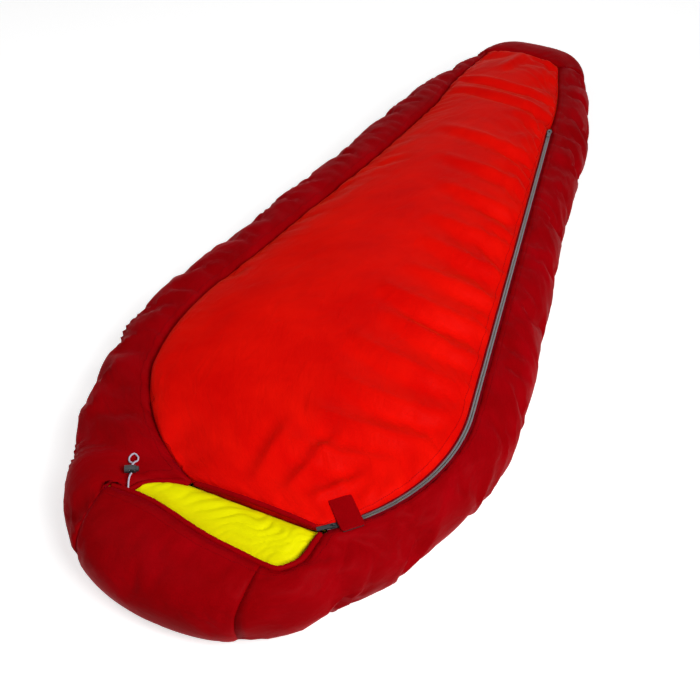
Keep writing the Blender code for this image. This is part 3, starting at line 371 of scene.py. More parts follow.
def noise(points, seed):
    """Smooth value noise from -1 to 1 over plan points."""
    cell = np.floor(points)
    part = points - cell
    part = part * part * (3 - 2 * part)
    corners = [hashed(cell + np.array(shift), seed) for shift in ((0, 0), (1, 0), (0, 1), (1, 1))]
    low = corners[0] + (corners[1] - corners[0]) * part[..., 0]
    high = corners[2] + (corners[3] - corners[2]) * part[..., 0]
    return (low + (high - low) * part[..., 1]) * 2 - 1


def arc_lengths(grid):
    """Distances along both directions of a grid of points, in metres."""
    down = np.zeros(grid.shape[:2])
    over = np.zeros(grid.shape[:2])
    down[1:] = np.cumsum(np.linalg.norm(np.diff(grid, axis=0), axis=2), axis=0)
    over[:, 1:] = np.cumsum(np.linalg.norm(np.diff(grid, axis=1), axis=2), axis=1)
    return down, over


def grid_normals(grid, sign):
    down = np.gradient(grid, axis=0)
    over = np.gradient(grid, axis=1)
    normal = np.cross(over, down) * sign
    length = np.linalg.norm(normal, axis=2, keepdims=True)
    return normal / np.maximum(length, 1e-9)


# --------------------------------------------------------------------- materials

def shader(name, colour, roughness, metallic=0.0, sheen=0.0, sheen_tint=None, specular=0.5):
    made = bpy.data.materials.new(name)
    made.use_nodes = True
    node = made.node_tree.nodes["Principled BSDF"]
    node.inputs["Base Color"].default_value = (*colour, 1.0)
    node.inputs["Roughness"].default_value = roughness
    node.inputs["Metallic"].default_value = metallic
    node.inputs["Sheen Weight"].default_value = sheen
    node.inputs["Sheen Roughness"].default_value = 0.35
    node.inputs["Sheen Tint"].default_value = (*(sheen_tint or colour), 1.0)
    node.inputs["Specular IOR Level"].default_value = specular
    return made, made.node_tree, node


def add(tree, kind, *linked, **values):
    """A node with its values; a socket given as a value, or in order of inputs, is linked."""
    node = tree.nodes.new(kind)
    for source, entry in zip(linked, node.inputs):
        tree.links.new(source, entry)
    for key, value in values.items():
        if key.startswith("_"):
            setattr(node, key[1:], value)
        elif isinstance(value, bpy.types.NodeSocket):
            tree.links.new(value, node.inputs[key.replace("_", " ")])
        else:
            node.inputs[key.replace("_", " ")].default_value = value
    return node


def metres(tree, layer="cloth"):
    """The surface's own map, in metres along and across the cloth."""
    return add(tree, "ShaderNodeUVMap", _uv_map=layer).outputs["UV"]


def scaled(tree, source, scale, turn=0.0):
    return add(tree, "ShaderNodeMapping", Vector=source, Scale=scale, Rotation=(0, 0, turn)).outputs[0]


def maths(tree, operation, first, second):
    return add(tree, "ShaderNodeMath", first, second, _operation=operation).outputs[0]


def weave_height(tree, uv, pitch):
    """Plain weave: warp and weft threads that pass over each other by turns."""
    height = None
    for turn in (0.0, math.pi / 2):
        vector = scaled(tree, uv, (1 / pitch, 1 / pitch, 1), turn)
        wave = add(tree, "ShaderNodeTexWave", Vector=vector, Scale=0.3142 / 2, Distortion=0.0,
                   _bands_direction="X").outputs["Fac"]
        height = wave if height is None else maths(tree, "MULTIPLY", height, wave)
    return height


def bumped(tree, height, strength, distance, **below):
    values = dict(below, Height=height, Strength=strength, Distance=distance)
    return add(tree, "ShaderNodeBump", **values).outputs[0]


def specks(tree, **values):
    return add(tree, "ShaderNodeTexNoise", **values).outputs["Fac"]


def glossed(tree, node, source, low, high):
    gloss = add(tree, "ShaderNodeMapRange", Value=source, To_Min=low, To_Max=high)
    tree.links.new(gloss.outputs["Result"], node.inputs["Roughness"])


def nylon(name, deep, pale, roughness, sheen, glow, crinkle=0.5):
    """Thin satin cloth: thread weave, fine crinkles, and a colour that drifts a little."""
    made, tree, node = shader(name, pale, roughness, sheen=sheen, sheen_tint=glow, specular=0.012)
    uv = metres(tree)
    drift = specks(tree, Vector=uv, Scale=7.0, Detail=4.0, Roughness=0.6)
    ramp = add(tree, "ShaderNodeValToRGB", Fac=drift)
    for end, position, colour in zip(ramp.color_ramp.elements, (0.32, 0.68), (deep, pale)):
        end.position = position
        end.color = (*colour, 1.0)
    tree.links.new(ramp.outputs["Color"], node.inputs["Base Color"])
    glossed(tree, node, drift, roughness - 0.06, roughness + 0.08)
    slanted = scaled(tree, uv, (1.0, 0.45, 1.0), 0.5)
    wide = specks(tree, Vector=slanted, Scale=26.0, Detail=5.0, Roughness=0.55, Distortion=0.9)
    normal = bumped(tree, wide, crinkle, 0.006)
    fine = specks(tree, Vector=uv, Scale=120.0, Detail=3.0, Roughness=0.6, Distortion=0.4)
    normal = bumped(tree, fine, 0.35, 0.0010, Normal=normal)
    normal = bumped(tree, weave_height(tree, uv, 0.0004), 0.25, 0.00006, Normal=normal)
    tree.links.new(normal, node.inputs["Normal"])
    return made


def moulded(name, colour, roughness, grain, depth, metallic=0.0):
    """Moulded plastic or painted metal, with a fine grain from its own place."""
    made, tree, node = shader(name, colour, roughness, metallic)
    place_in = add(tree, "ShaderNodeTexCoord").outputs["Object"]
    speck = specks(tree, Vector=place_in, Scale=grain, Detail=3.0)
    glossed(tree, node, speck, roughness - 0.08, roughness + 0.10)
    tree.links.new(bumped(tree, speck, 0.3, depth), node.inputs["Normal"])
    return made


BRIGHT = nylon("bright_nylon", (0.74, 0.0020, 0.0010), (0.90, 0.0050, 0.0015), 0.44, 0.22,
               (1.0, 0.10, 0.015))
CRIMSON = nylon("crimson_nylon", (0.27, 0.0003, 0.0016), (0.39, 0.0005, 0.0036), 0.46, 0.15,
                (0.9, 0.01, 0.05))
LIME = nylon("lime_nylon", (0.86, 0.82, 0.0008), (0.94, 0.90, 0.0015), 0.50, 0.12, (1.0, 1.0, 0.1))
TAPE = nylon("tape_weave", (0.15, 0.0010, 0.0040), (0.21, 0.0015, 0.0060), 0.70, 0.10, (0.8, 0.1, 0.1), 0.2)
CORD = nylon("cord_braid", (0.52, 0.49, 0.62), (0.68, 0.66, 0.74), 0.65, 0.20, (0.9, 0.9, 1.0), 0.2)
THREAD = nylon("thread", (0.20, 0.0010, 0.0040), (0.30, 0.0015, 0.0060), 0.60, 0.10, (0.9, 0.1, 0.1), 0.1)
COIL = moulded("coil_nylon", (0.20, 0.20, 0.21), 0.38, 400.0, 0.0001)
PLASTIC = moulded("lock_plastic", (0.022, 0.022, 0.025), 0.42, 900.0, 0.00012)
SLIDER = moulded("slider_paint", (0.028, 0.028, 0.032), 0.30, 600.0, 0.00008, 0.4)
SPRING = moulded("spring_wire", (0.55, 0.55, 0.56), 0.28, 500.0, 0.00005, 1.0)


# ------------------------------------------------------------------ mesh helpers

def mesh_piece(name, points, faces, looks, uv=None, slots=None, smooth=True):
    data = bpy.data.meshes.new(name)
    data.from_pydata([tuple(p) for p in points], [], [tuple(int(i) for i in f) for f in faces])
    for look in looks:
        data.materials.append(look)
    if slots is not None:
        data.polygons.foreach_set("material_index", np.asarray(slots, dtype=np.int32))
    if smooth:
        data.polygons.foreach_set("use_smooth", np.ones(len(data.polygons), dtype=bool))
    if uv is not None:
        layer = data.uv_layers.new(name="cloth")
        corners = np.zeros(len(data.loops), dtype=np.int32)
        data.loops.foreach_get("vertex_index", corners)
        layer.data.foreach_set("uv", np.asarray(uv, dtype=np.float32)[corners].ravel())
    data.update()
    made = bpy.data.objects.new(name, data)
    bpy.context.collection.objects.link(made)
    return made


def grid_faces(rows, columns, start=0, flip=False):
    index = np.arange(rows * columns).reshape(rows, columns) + start
    quads = np.stack([index[:-1, :-1], index[1:, :-1], index[1:, 1:], index[:-1, 1:]], axis=-1)
    quads = quads.reshape(-1, 4)
    return quads if flip else quads[:, ::-1]


def quilt(name, outer, inner, outward, looks, uv_base):
    """Closed quilt between its shell and its lining, as one piece of two cloths."""
    rows, columns = outer.shape[:2]
    count = rows * columns
    points = np.concatenate([outer.reshape(-1, 3), inner.reshape(-1, 3)])
    flip = outward < 0
    faces = [grid_faces(rows, columns, 0, flip), grid_faces(rows, columns, count, not flip)]
    index = np.arange(count).reshape(rows, columns)
    rim = np.concatenate([index[:-1, 0], index[-1, :-1], index[:0:-1, -1], index[0, :0:-1]])
    after = np.roll(rim, -1)
    side = np.stack([rim, rim + count, after + count, after], axis=-1)
    faces.append(side if flip else side[:, ::-1])
    faces = np.concatenate(faces)
    slots = np.zeros(len(faces), dtype=np.int32)
    quads = (rows - 1) * (columns - 1)
    slots[quads:2 * quads] = 1
    uv = np.concatenate([uv_base.reshape(-1, 2)] * 2)
    return mesh_piece(name, points, faces, looks, uv, slots)


def cloth_uv(grid):
    down, over = arc_lengths(grid)
    return np.stack([over, down], axis=-1)


def settle(grid, pinned, growth, pressure, low, high, frames=18, bending=0.6):
    """Grows a pinned panel as cloth until it buckles; how far a point may move is capped."""
    rows, columns = grid.shape[:2]
    data = bpy.data.meshes.new("settle")
    data.from_pydata([tuple(p) for p in grid.reshape(-1, 3)], [], grid_faces(rows, columns).tolist())
    work = bpy.data.objects.new("settle", data)
    bpy.context.collection.objects.link(work)
    group = work.vertex_groups.new(name="pin")
    weights = pinned.reshape(-1)
    for index in np.nonzero(weights > 0)[0]:
        group.add([int(index)], float(weights[index]), "REPLACE")
    full = float(growth.max())
    grown = work.vertex_groups.new(name="grown")
    for index, share in enumerate(growth.reshape(-1) / full):
        grown.add([index], float(1 - share), "REPLACE")
    cloth = work.modifiers.new("cloth", "CLOTH")
    held = cloth.settings
    settings = dict(vertex_group_mass="pin", vertex_group_shrink="grown", quality=4, mass=0.05,
                    tension_stiffness=12, compression_stiffness=12, shear_stiffness=4,
                    bending_stiffness=bending, tension_damping=12, compression_damping=12,
                    shear_damping=6, air_damping=4, shrink_min=-full, shrink_max=0.0,
                    use_pressure=pressure != 0, uniform_pressure_force=pressure)
    for key, value in settings.items():
        setattr(held, key, value)
    held.effector_weights.gravity = 0
    cloth.collision_settings.use_collision = False
    scene = bpy.context.scene
    for number in range(1, frames + 1):
        scene.frame_set(number)
    moved = work.evaluated_get(bpy.context.evaluated_depsgraph_get())
    found = np.zeros(rows * columns * 3)
    moved.data.vertices.foreach_get("co", found)
    bpy.data.objects.remove(work, do_unlink=True)
    bpy.data.meshes.remove(data)
    scene.frame_set(1)
    shift = found.reshape(grid.shape) - grid
    normal = grid_normals(grid, 1.0)
    along = np.sum(shift * normal, axis=2, keepdims=True)
    flat = shift - normal * along
    reach = np.linalg.norm(flat, axis=2, keepdims=True)
    flat = flat * np.tanh(reach / 0.010) * 0.010 / np.maximum(reach, 1e-9)
    capped = np.where(along > 0, high * np.tanh(along / high), -low * np.tanh(-along / low))
    return flat, normal * capped


# ------------------------------------------------------------------ the panels

STEP = 0.010
SIDE_STEPS = 14
TOP_STEPS = 56


def edge_shares(grid):
    """Distance of each point from the four edges of its grid, in metres."""
    down, over = arc_lengths(grid)
    return down, down[-1:] - down, over, over[:, -1:] - over


def puckers(along, away, pitch, depth, reach, seed, slant=0.0):
    """Gathers that run off a seam and fade with the distance from it."""
    place_in = np.stack([along / 0.11, away / 0.09], -1)
    phase = (along + slant * away) / pitch + 0.9 * noise(place_in, seed)
    ridge = np.abs(np.sin(math.pi * phase)) ** 0.8 - 0.6
    strength = 0.55 + 0.45 * noise(np.stack([along / 0.16, along * 0], -1), seed + 3)
    return depth * ridge * strength * np.exp(-(away / reach) ** 1.2) * (1 - np.exp(-away / 0.005))


def seam_dip(away, depth=0.006, width=0.012):
    return -depth * np.exp(-away / width)


def folds(plan, lines):
    """Soft folds along bowed lines: start, end, half width, height and bow, in plan metres."""
    lift = np.zeros(plan.shape[:2])
    for start, end, width, depth, bow in lines:
        start, end = np.array(start), np.array(end)
        run = end - start
        length = np.linalg.norm(run)
        run = run / length
        rel = plan - start
        along = (rel @ run) / length
        off = rel @ np.array((-run[1], run[0])) - bow * 4 * along * (1 - along)
        taper = np.sin(math.pi * np.clip(along, 0, 1)) ** 0.7
        hollow = np.exp(-((off - 1.7 * width) / (1.3 * width)) ** 2)
        lift += depth * taper * (np.exp(-(off / width) ** 2) - 0.8 * hollow)
    return lift


def station_plan(grid):
    return np.stack([grid[..., 0], grid[..., 1] + LENGTH / 2], -1)


def pins(grid):
    """Holds all four edges of a grid."""
    held = np.zeros(grid.shape[:2])
    for part in (np.s_[0], np.s_[-1], np.s_[:, 0], np.s_[:, -1]):
        held[part] = 1
    return held


def near(away, reach):
    return np.exp(-(away / reach) ** 2)


TOP_FOLDS = (
    ((0.265, 0.400), (0.050, 0.345), 0.016, 0.007, 0.020),
    ((0.290, 0.455), (0.060, 0.430), 0.018, 0.008, 0.022),
    ((0.305, 0.530), (0.080, 0.520), 0.017, 0.007, 0.020),
    ((0.318, 0.610), (0.060, 0.630), 0.020, 0.008, 0.018),
    ((0.310, 0.700), (0.090, 0.730), 0.017, 0.007, 0.016),
    ((0.300, 0.790), (0.050, 0.800), 0.020, 0.008, 0.020),
    ((0.285, 0.900), (0.070, 0.890), 0.018, 0.006, 0.016),
    ((0.275, 0.990), (0.060, 1.000), 0.019, 0.006, 0.016),
    ((0.255, 1.090), (0.040, 1.080), 0.018, 0.005, 0.014),
    ((0.238, 1.210), (0.020, 1.215), 0.019, 0.005, 0.014),
    ((0.220, 1.330), (-0.030, 1.330), 0.018, 0.005, 0.012),
    ((0.200, 1.460), (-0.080, 1.480), 0.017, 0.005, 0.010),
    ((0.185, 1.700), (-0.140, 1.740), 0.016, 0.006, 0.006),
    ((0.150, 1.790), (-0.150, 1.815), 0.013, 0.005, -0.004),
    ((-0.020, 2.050), (-0.050, 1.880), 0.014, 0.005, 0.006),
    ((0.045, 2.050), (0.090, 1.860), 0.013, 0.004, -0.004),
    ((0.115, 0.240), (0.160, 0.420), 0.012, 0.005, 0.008),
    ((0.060, 0.240), (0.060, 0.400), 0.013, 0.004, 0.006),
    ((0.150, 0.250), (0.235, 0.370), 0.011, 0.005, -0.006),
)


def relief_top(grid):
    plan = station_plan(grid)
    head, foot, left, right = edge_shares(grid)
    lift = seam_dip(left) + seam_dip(right, 0.003, 0.008) + seam_dip(foot, 0.004)
    lift += puckers(head, right, 0.043, 0.0060, 0.070, 11, -0.5)
    toward_foot = np.clip((plan[..., 1] - 0.9) / 0.6, 0.25, 1.0)
    lift += puckers(head, left, 0.030, 0.0055, 0.034, 12) * toward_foot
    lift += 0.0045 * noise(plan / 0.16, 21) * (1 - near(left, 0.05)) * (1 - near(right, 0.05))
    slant = noise(np.stack([(head - 0.55 * right) / 0.034, (head + 0.8 * right) / 0.21], -1), 72)
    lift += 0.0050 * (0.5 - np.abs(slant) ** 0.6) * near(right, 0.17) * (1 - near(right, 0.012))
    return lift + 1.5 * folds(plan, TOP_FOLDS)


def growth_top(grid):
    plan = station_plan(grid)
    head, foot, left, right = edge_shares(grid)
    return (0.010 + 0.050 * near(right, 0.10) + 0.028 * near(left, 0.05) + 0.020 * near(foot, 0.10)
            + 0.018 * near(head, 0.10))


def relief_side(grid):
    head, foot, top, floor = edge_shares(grid)
    lift = seam_dip(top, 0.005) + (seam_dip(head, 0.004) + seam_dip(foot, 0.004)) * (1 - near(top, 0.03))
    slant = noise(np.stack([(head + 0.9 * top) / 0.050, (head - 0.6 * top) / 0.26], -1), 71)
    shoulder = 0.0035 + 0.0055 * near(head - 0.32, 0.22)
    lift += shoulder * (0.55 - np.abs(slant) ** 0.6) * (1 - near(top, 0.012)) * (1 - near(floor, 0.05))
    return lift + puckers(head, top, 0.036, 0.0065, 0.055, 13)


def relief_end(grid):
    head, foot, top, floor = edge_shares(grid)
    return seam_dip(top, 0.003) + (seam_dip(head, 0.005) + seam_dip(foot, 0.005)) * (1 - near(top, 0.03))


def even(share):
    return lambda grid: np.full(grid.shape[:2], share)


SHELLS = {}


TAB_SHOULDER = 0.016
TAB_EASE = 0.014


def under_tab(grid, shell):
    """Keeps a settled shell down under the tab."""
    point, normal = zip_frame(TAB_START + TAB_WIDTH / 2)
    run = np.array((normal[1], -normal[0]))
    away = station_plan(grid) - point
    reach, aside = away @ normal, np.abs(away @ run)
    held = np.clip((grid[..., 2] - 0.11) / 0.02, 0, 1)
    for inside in (reach + TAB_REACH, TAB_OVERHANG - reach, TAB_WIDTH / 2 - aside):
        held = held * np.clip((inside + TAB_SHOULDER) / TAB_EASE, 0, 1)
    held = held * held * (3 - 2 * held)
    return shell + (grid - np.array((0, 0, 0.0008)) - shell) * held[..., None]


def build_panel(name, grids, outward, looks, relief, growth, pressure, caps):
    """A quilt whose shell is grown as cloth between its pinned seams, then gets its gathers."""
    outer, inner = grids
    normal = grid_normals(outer, outward)
    start = outer + normal * (relief(outer) * 0.6)[..., None]
    shell = start
    low, high = caps if outward > 0 else caps[::-1]
    flat, lift = settle(start, pins(outer), growth(outer), pressure * outward, low, high)
    shell = start + flat + lift
    shell = shell + normal * (relief(outer) * 0.4)[..., None]
    shell = under_tab(outer, shell)
    shell[..., 2] = np.maximum(shell[..., 2], 0.0)
    SHELLS[name] = shell
    return quilt(name, shell, inner, outward, looks, cloth_uv(outer))


def panels():
    top = build_panel("top_quilt", top_grid(STEP, TOP_STEPS), 1.0, (BRIGHT, LIME), relief_top, growth_top,
                      0.6, (0.012, 0.006))
    kinds = ("top_panel", "top_insulation", "top_lining")
    stand_in(top, [node for node in frame["nodes"] if node.startswith(kinds)])
    for sign, side in ((-1, "left"), (1, "right")):
        grids = wall_grid(side_run(sign, STEP), SIDE_STEPS)
        wall = build_panel("side_quilt_" + side, grids, float(sign), (CRIMSON, LIME), relief_side,
                           even(0.05), 1.1, (0.014, 0.009))
        nodes = ["side_" + kind + "_" + side for kind in ("panel", "insulation", "lining")]
        stand_in(wall, nodes, "bag")
    ends = (("hood", hood_pair, 0.018, ("hood_panel", "hood_insulation", "hood_lining")),
            ("foot", foot_pair, 0.040, ("foot_end_panel", "foot_end_insulation", "foot_end_lining")))
    for name, profile, growth, nodes in ends:
        run = [profile(share) for share in np.linspace(0, 1, 41)]
        wall = build_panel(name + "_quilt", wall_grid(run, SIDE_STEPS), 1.0, (CRIMSON, LIME), relief_end,
                           even(growth), 1.5, (0.008, 0.006))
        stand_in(wall, nodes, "bag")


def cross_crease(piece):
    """Bakes the piece's place into its mesh and leaves it on no body."""
    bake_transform(piece)


def stand_in(piece, nodes, body=None):
    """Puts a piece in place of CAD nodes, on one body or else baked in place on none."""
    if body:
        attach(piece, body)
    else:
        cross_crease(piece)
    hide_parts(*nodes)


# ------------------------------------------------------------- tubes and stitches

def smooth_path(path, steps):
    """Smooth curve through points, with some steps between each two."""
    path = [np.array(p, dtype=float) for p in path]
    made = eased(path, steps)
    made.append(path[-1])
    return np.array(made)


def resampled(path, step):
    """The path's points spread evenly along it."""
    reach = np.concatenate([[0], np.cumsum(np.linalg.norm(np.diff(path, axis=0), axis=1))])
    marks = np.linspace(0, reach[-1], max(2, round(reach[-1] / step) + 1))
    return np.stack([np.interp(marks, reach, path[:, k]) for k in range(3)], -1)


def path_frames(path):
    along = np.gradient(path, axis=0)
    along /= np.linalg.norm(along, axis=1, keepdims=True)
    across = np.cross(along, (0, 0, 1.0))
    across /= np.maximum(np.linalg.norm(across, axis=1, keepdims=True), 1e-9)
    return along, across, np.cross(across, along)


def ring_faces(rings, sides, start=0, flip=False, caps=True):
    """Faces of a row of rings of points, with both ends closed if they are capped."""
    index = np.arange(rings * sides).reshape(rings, sides) + start
    after = np.roll(index, -1, axis=1)
    faces = np.stack([index[:-1], index[1:], after[1:], after[:-1]], -1).reshape(-1, 4)
    ends = [tuple(index[0]), tuple(index[-1][::-1])] if caps else []
    if flip:
        return faces[:, ::-1].tolist() + [end[::-1] for end in ends]
    return faces.tolist() + ends


def tube(name, path, radius, look, sides=14, gathers=0.0, pitch=0.008, seed=5, ends=True):
    """Cloth or cord tube on a path; gathers pucker it ring by ring, and its ends close in a dome."""
    along, across, up = path_frames(path)
    reach = np.concatenate([[0], np.cumsum(np.linalg.norm(np.diff(path, axis=0), axis=1))])
    angle = np.linspace(0, 2 * math.pi, sides, endpoint=False)
    grid = np.zeros((len(path), sides, 3))
    for i in range(len(path)):
        sweep = np.stack([np.full(sides, reach[i] / pitch), angle * 0.8], -1)
        size = radius * (1 + gathers * (noise(sweep, seed) + 0.5 * np.sin(2 * math.pi * reach[i] / pitch)))
        if ends:
            rim = min(reach[i], reach[-1] - reach[i]) / radius
            size = size * (math.sqrt(max(0.0, 1 - (1 - min(rim, 1.0)) ** 2)) * 0.92 + 0.08)
        grid[i] = (path[i] + across[i] * (np.cos(angle) * size)[:, None]
                   + up[i] * (np.sin(angle) * size)[:, None])
    points = np.concatenate([grid.reshape(-1, 3), [path[0]], [path[-1]]])
    index = np.arange(len(path) * sides).reshape(len(path), sides)
    after = np.roll(index, -1, axis=1)
    faces = ring_faces(len(path), sides, caps=False)
    faces += [(index[0, k], after[0, k], len(points) - 2) for k in range(sides)]
    faces += [(after[-1, k], index[-1, k], len(points) - 1) for k in range(sides)]
    spread = np.broadcast_to(angle * radius, index.shape), np.broadcast_to(reach[:, None], index.shape)
    uv = np.concatenate([np.stack(spread, -1).reshape(-1, 2), [(0, 0)], [(0, reach[-1])]])
    return mesh_piece(name, points, faces, [look], uv)


STITCH_RINGS = ((-0.5, 0.3, -0.5), (-0.25, 1.0, 0.5), (0.25, 1.0, 0.5), (0.5, 0.3, -0.5))


def stitches(name, path, up, look, pitch=0.0042, length=0.0030, radius=0.00032):
    """A row of single stitches that dip into the cloth between one another."""
    path = resampled(path, pitch)
    up = np.broadcast_to(up, path.shape) if np.ndim(up) == 1 else np.array(
        [up[min(len(up) - 1, round(i * (len(up) - 1) / (len(path) - 1)))] for i in range(len(path))])
    along = np.gradient(path, axis=0)
    along /= np.linalg.norm(along, axis=1, keepdims=True)
    points, faces = [], []
    for i in range(len(path)):
        lift = up[i] - along[i] * (up[i] @ along[i])
        lift = lift / np.linalg.norm(lift)
        side = np.cross(along[i], lift)
        start = len(points)
        for reach, size, height in STITCH_RINGS:
            for k in range(4):
                angle = math.pi / 2 * k + math.pi / 4
                points.append(path[i] + along[i] * reach * length + lift * radius * height
                              + (side * math.cos(angle) + lift * math.sin(angle)) * radius * size * 1.4)
        faces += ring_faces(4, 4, start)
    return mesh_piece(name, points, faces, [look], np.zeros((len(points), 2)))


def edge_line(pairs, radius, step=0.004):
    """Path of a hem tube laid against the opening's edge, just below the surface."""
    tops = np.array([p[0:2] for p in pairs])
    rims = np.array([p[4:6] for p in pairs])
    run = np.gradient(tops, axis=0)
    run /= np.linalg.norm(run, axis=1, keepdims=True)
    inward = np.stack([-run[:, 1], run[:, 0]], -1)
    inward *= np.sign(np.sum(inward * (tops - rims), axis=1))[:, None]
    flat = tops + inward * (radius + 0.0006)
    path = np.stack([flat[:, 0], flat[:, 1] - LENGTH / 2, [p[2] - 0.0008 - radius for p in pairs]], -1)
    return resampled(path, step)


# --------------------------------------------------------- opening: hems and collar

def hood_run():
    return [hood_pair(share) for share in np.linspace(0, 1, 61)]


def right_corner_run():
    return eased(corner_pairs(1) + [side_pair(1, NECK_STATION)], 8)


def left_corner_run():
    return eased(corner_pairs(-1) + [side_pair(-1, NECK_STATION)], 8)


HOOD_HEM_START = -0.170
CORD_EXIT = -0.128                   # x where the drawcord leaves the hood's hem


def hood_hem_path():
    lip = [p for p in hood_run() if p[0] > HOOD_HEM_START]
    return edge_line(lip + right_corner_run()[1:], HOOD_HEM_RADIUS)


def hems():
    """Gathered cloth tubes on the hood's, the shoulder's and the neck's edges."""
    hem = tube("hood_edge_hem", hood_hem_path(), HOOD_HEM_RADIUS, CRIMSON, gathers=0.07, pitch=0.011)
    stand_in(hem, ["hood_edge_casing"], "bag")
    path = edge_line(left_corner_run()[6:], EDGE_HEM_RADIUS)
    hem = tube("shoulder_edge_hem", path, EDGE_HEM_RADIUS, CRIMSON, gathers=0.08, pitch=0.010, seed=6)
    stand_in(hem, ["shoulder_edge_binding"], "bag")
    line = []
    left, right = left_edge(NECK_STATION), right_edge(NECK_STATION)
    for share in np.linspace(0.02, 0.955, 60):
        flat = mix(left, right, share) - np.array((0, EDGE_HEM_RADIUS))
        line.append(place(flat, top_heights(NECK_STATION, share)[0] - 0.0030))
    path = resampled(np.array(line), 0.004)
    hem = tube("neck_edge_hem", path, EDGE_HEM_RADIUS, CRIMSON, gathers=0.08, pitch=0.010, seed=7)
    stand_in(hem, ["neck_edge_binding"])


def lip_point(x):
    """Place on the hood's lip, in from its hem, at an x."""
    x = min(max(x, -0.165), 0.185)
    if x <= 0.140:
        return np.array((x, through(HOOD_LIP, x) + 0.013))
    corner = right_corner_run()
    tops = np.array([p[0:2] for p in corner])
    return np.array((x, np.interp(x, tops[:, 0], tops[:, 1]) + 0.010))


COLLAR_HEIGHT = 0.1275


def collar():
    """Padded lime roll that fills the face opening, sewn under the neck and shoulder edges."""
    edge = [p[0:2] for p in left_corner_run()[6:]]
    left, right = left_edge(NECK_STATION), right_edge(NECK_STATION)
    edge += [mix(left, right, share) for share in np.linspace(0.0, 0.97, 30)]
    edge = resampled(np.array([(*p, 0.0) for p in edge]), 0.004)[:, :2]
    rows, columns = len(edge), 22
    upper = np.zeros((rows, columns, 3))
    lower = np.zeros_like(upper)
    for i, flat in enumerate(edge):
        share = i / (rows - 1)
        lip = lip_point(mix(flat[0], flat[0] - 0.010, share))
        reach = lip - flat
        swell = min(1.0, math.sin(math.pi * min(share * 2.2, 0.5)) * 0.5 + 0.5)
        swell *= min(1.0, (1 - share) * 9 + 0.35)
        for k in range(columns):
            t = k / (columns - 1)
            out = mix(flat, flat + reach, 0.03 + 0.97 * t)
            dome = (1 - (2 * t - 1) ** 2) ** 0.55 if 0 < t < 1 else 0.0
            upper[i, k] = place(out, COLLAR_HEIGHT + 0.0165 * dome * swell - 0.010 * t ** 3)
            lower[i, k] = place(out, COLLAR_HEIGHT - 0.026 * dome * swell - 0.010 * t ** 3)
    down, over = arc_lengths(upper)
    slope = down * 0.75 + over
    spot = np.stack([down, over], -1)
    crease = np.abs(np.sin(math.pi * (slope / 0.025 + 1.5 * noise(spot / 0.040, 31))))
    width = over[:, -1:]
    mid = np.sin(math.pi * over / width)
    strength = 0.35 + 0.65 * np.clip((down / down.max() - 0.25) / 0.5, 0, 1)
    upper[..., 2] += (0.0062 * (crease ** 0.6 - 0.65) * strength + 0.003 * noise(spot / 0.05, 33)) * mid
    growth = np.full(upper.shape[:2], 0.07)
    flat, lift = settle(upper, pins(upper), growth, 1.0, 0.005, 0.006, frames=16, bending=0.2)
    upper = upper + flat * 0.4 + lift
    roll = quilt("collar_roll", upper, lower, 1.0, (LIME, LIME), cloth_uv(upper))
    stand_in(roll, ["draft_collar", "draft_collar_end"])


# ------------------------------------------------------------------- zip and tab

COIL_PITCH = 0.0022
COIL_START = 0.004
UPPER_END = 0.0246                   # where the closed chain starts past the upper slider
CHAIN_FOOT_GAP = 0.0055


def coil_loops(name, start, stop, sign):
    """One side's coil: rounded loops that stand across the tape and mesh with the other side's."""
    points, faces = [], []
    for mark in np.arange(start + COIL_PITCH / 2, stop - COIL_PITCH * 0.6, COIL_PITCH):
        point, normal = zip_frame(mark + (COIL_PITCH / 2 if sign < 0 else 0.0))
        run = np.array((normal[1], -normal[0]))
        base = len(points)
        for reach, size in ((0.0005, 0.62), (0.0011, 1.0), (0.0034, 0.90), (0.0042, 0.55)):
            for k in range(6):
                angle = math.pi / 3 * k
                flat = point + normal * sign * reach + run * 0.00088 * size * math.cos(angle)
                points.append(place(flat, ZIP_PLANE + 0.0012 * size * math.sin(angle)))
        faces += ring_faces(4, 6, base, flip=sign < 0)
    return mesh_piece(name, points, faces, [COIL])


def tape_band(name, start, stop, sign):
    """Woven tape between a coil and its panel, a little wavy along its length."""
    marks = np.linspace(start, stop, max(3, round((stop - start) / 0.006)))
    upper = np.zeros((len(marks), 5, 3))
    for i, mark in enumerate(marks):
        point, normal = zip_frame(mark)
        for k in range(5):
            reach = mix(0.0030, 0.0088, k / 4)
            height = ZIP_PLANE - 0.0002 + 0.0006 * (k / 4) ** 2 + 0.0003 * math.sin(mark * 140 + k)
            upper[i, k] = place(point + normal * sign * reach, height)
    lower = upper - np.array((0, 0, 0.0008))
    return quilt(name, upper, lower, float(sign), (TAPE, TAPE), cloth_uv(upper))


def zip_pieces():
    foot = ZIP_LENGTH - CHAIN_FOOT_GAP
    for make, kind in ((coil_loops, "coil"), (tape_band, "tape")):
        side = make("chain_" + kind + "_side", COIL_START, foot, 1)
        stand_in(side, ["zip_" + kind + "_side"], "bag")
        panel = make("chain_" + kind + "_panel", UPPER_END, foot, -1)
        stand_in(panel, ["zip_" + kind + "_flap", "zip_" + kind + "_foot"])


def tab_surface(reach):
    """Height of the tab's underside at a reach outward from the zip's line."""
    share = min(max((reach + TAB_REACH) / TAB_REACH, 0.0), 1.0)
    ease = share * share * (3 - 2 * share)
    return mix(TAB_SEAT, TAB_HEIGHT, mix(share, ease, 0.4))


TAB_STATION = mix(NECK_STATION, ZIP_KNEE[1], (TAB_START + TAB_WIDTH) / ZIP_ARC)
TAB_ROW = np.linalg.norm(right_edge(TAB_STATION) - left_edge(TAB_STATION))
TAB_SEAT = top_heights(TAB_STATION, 1 - TAB_REACH / TAB_ROW)[0] + 0.0006
TAB_HEIGHT = ZIP_PLANE + PULL_LIFT


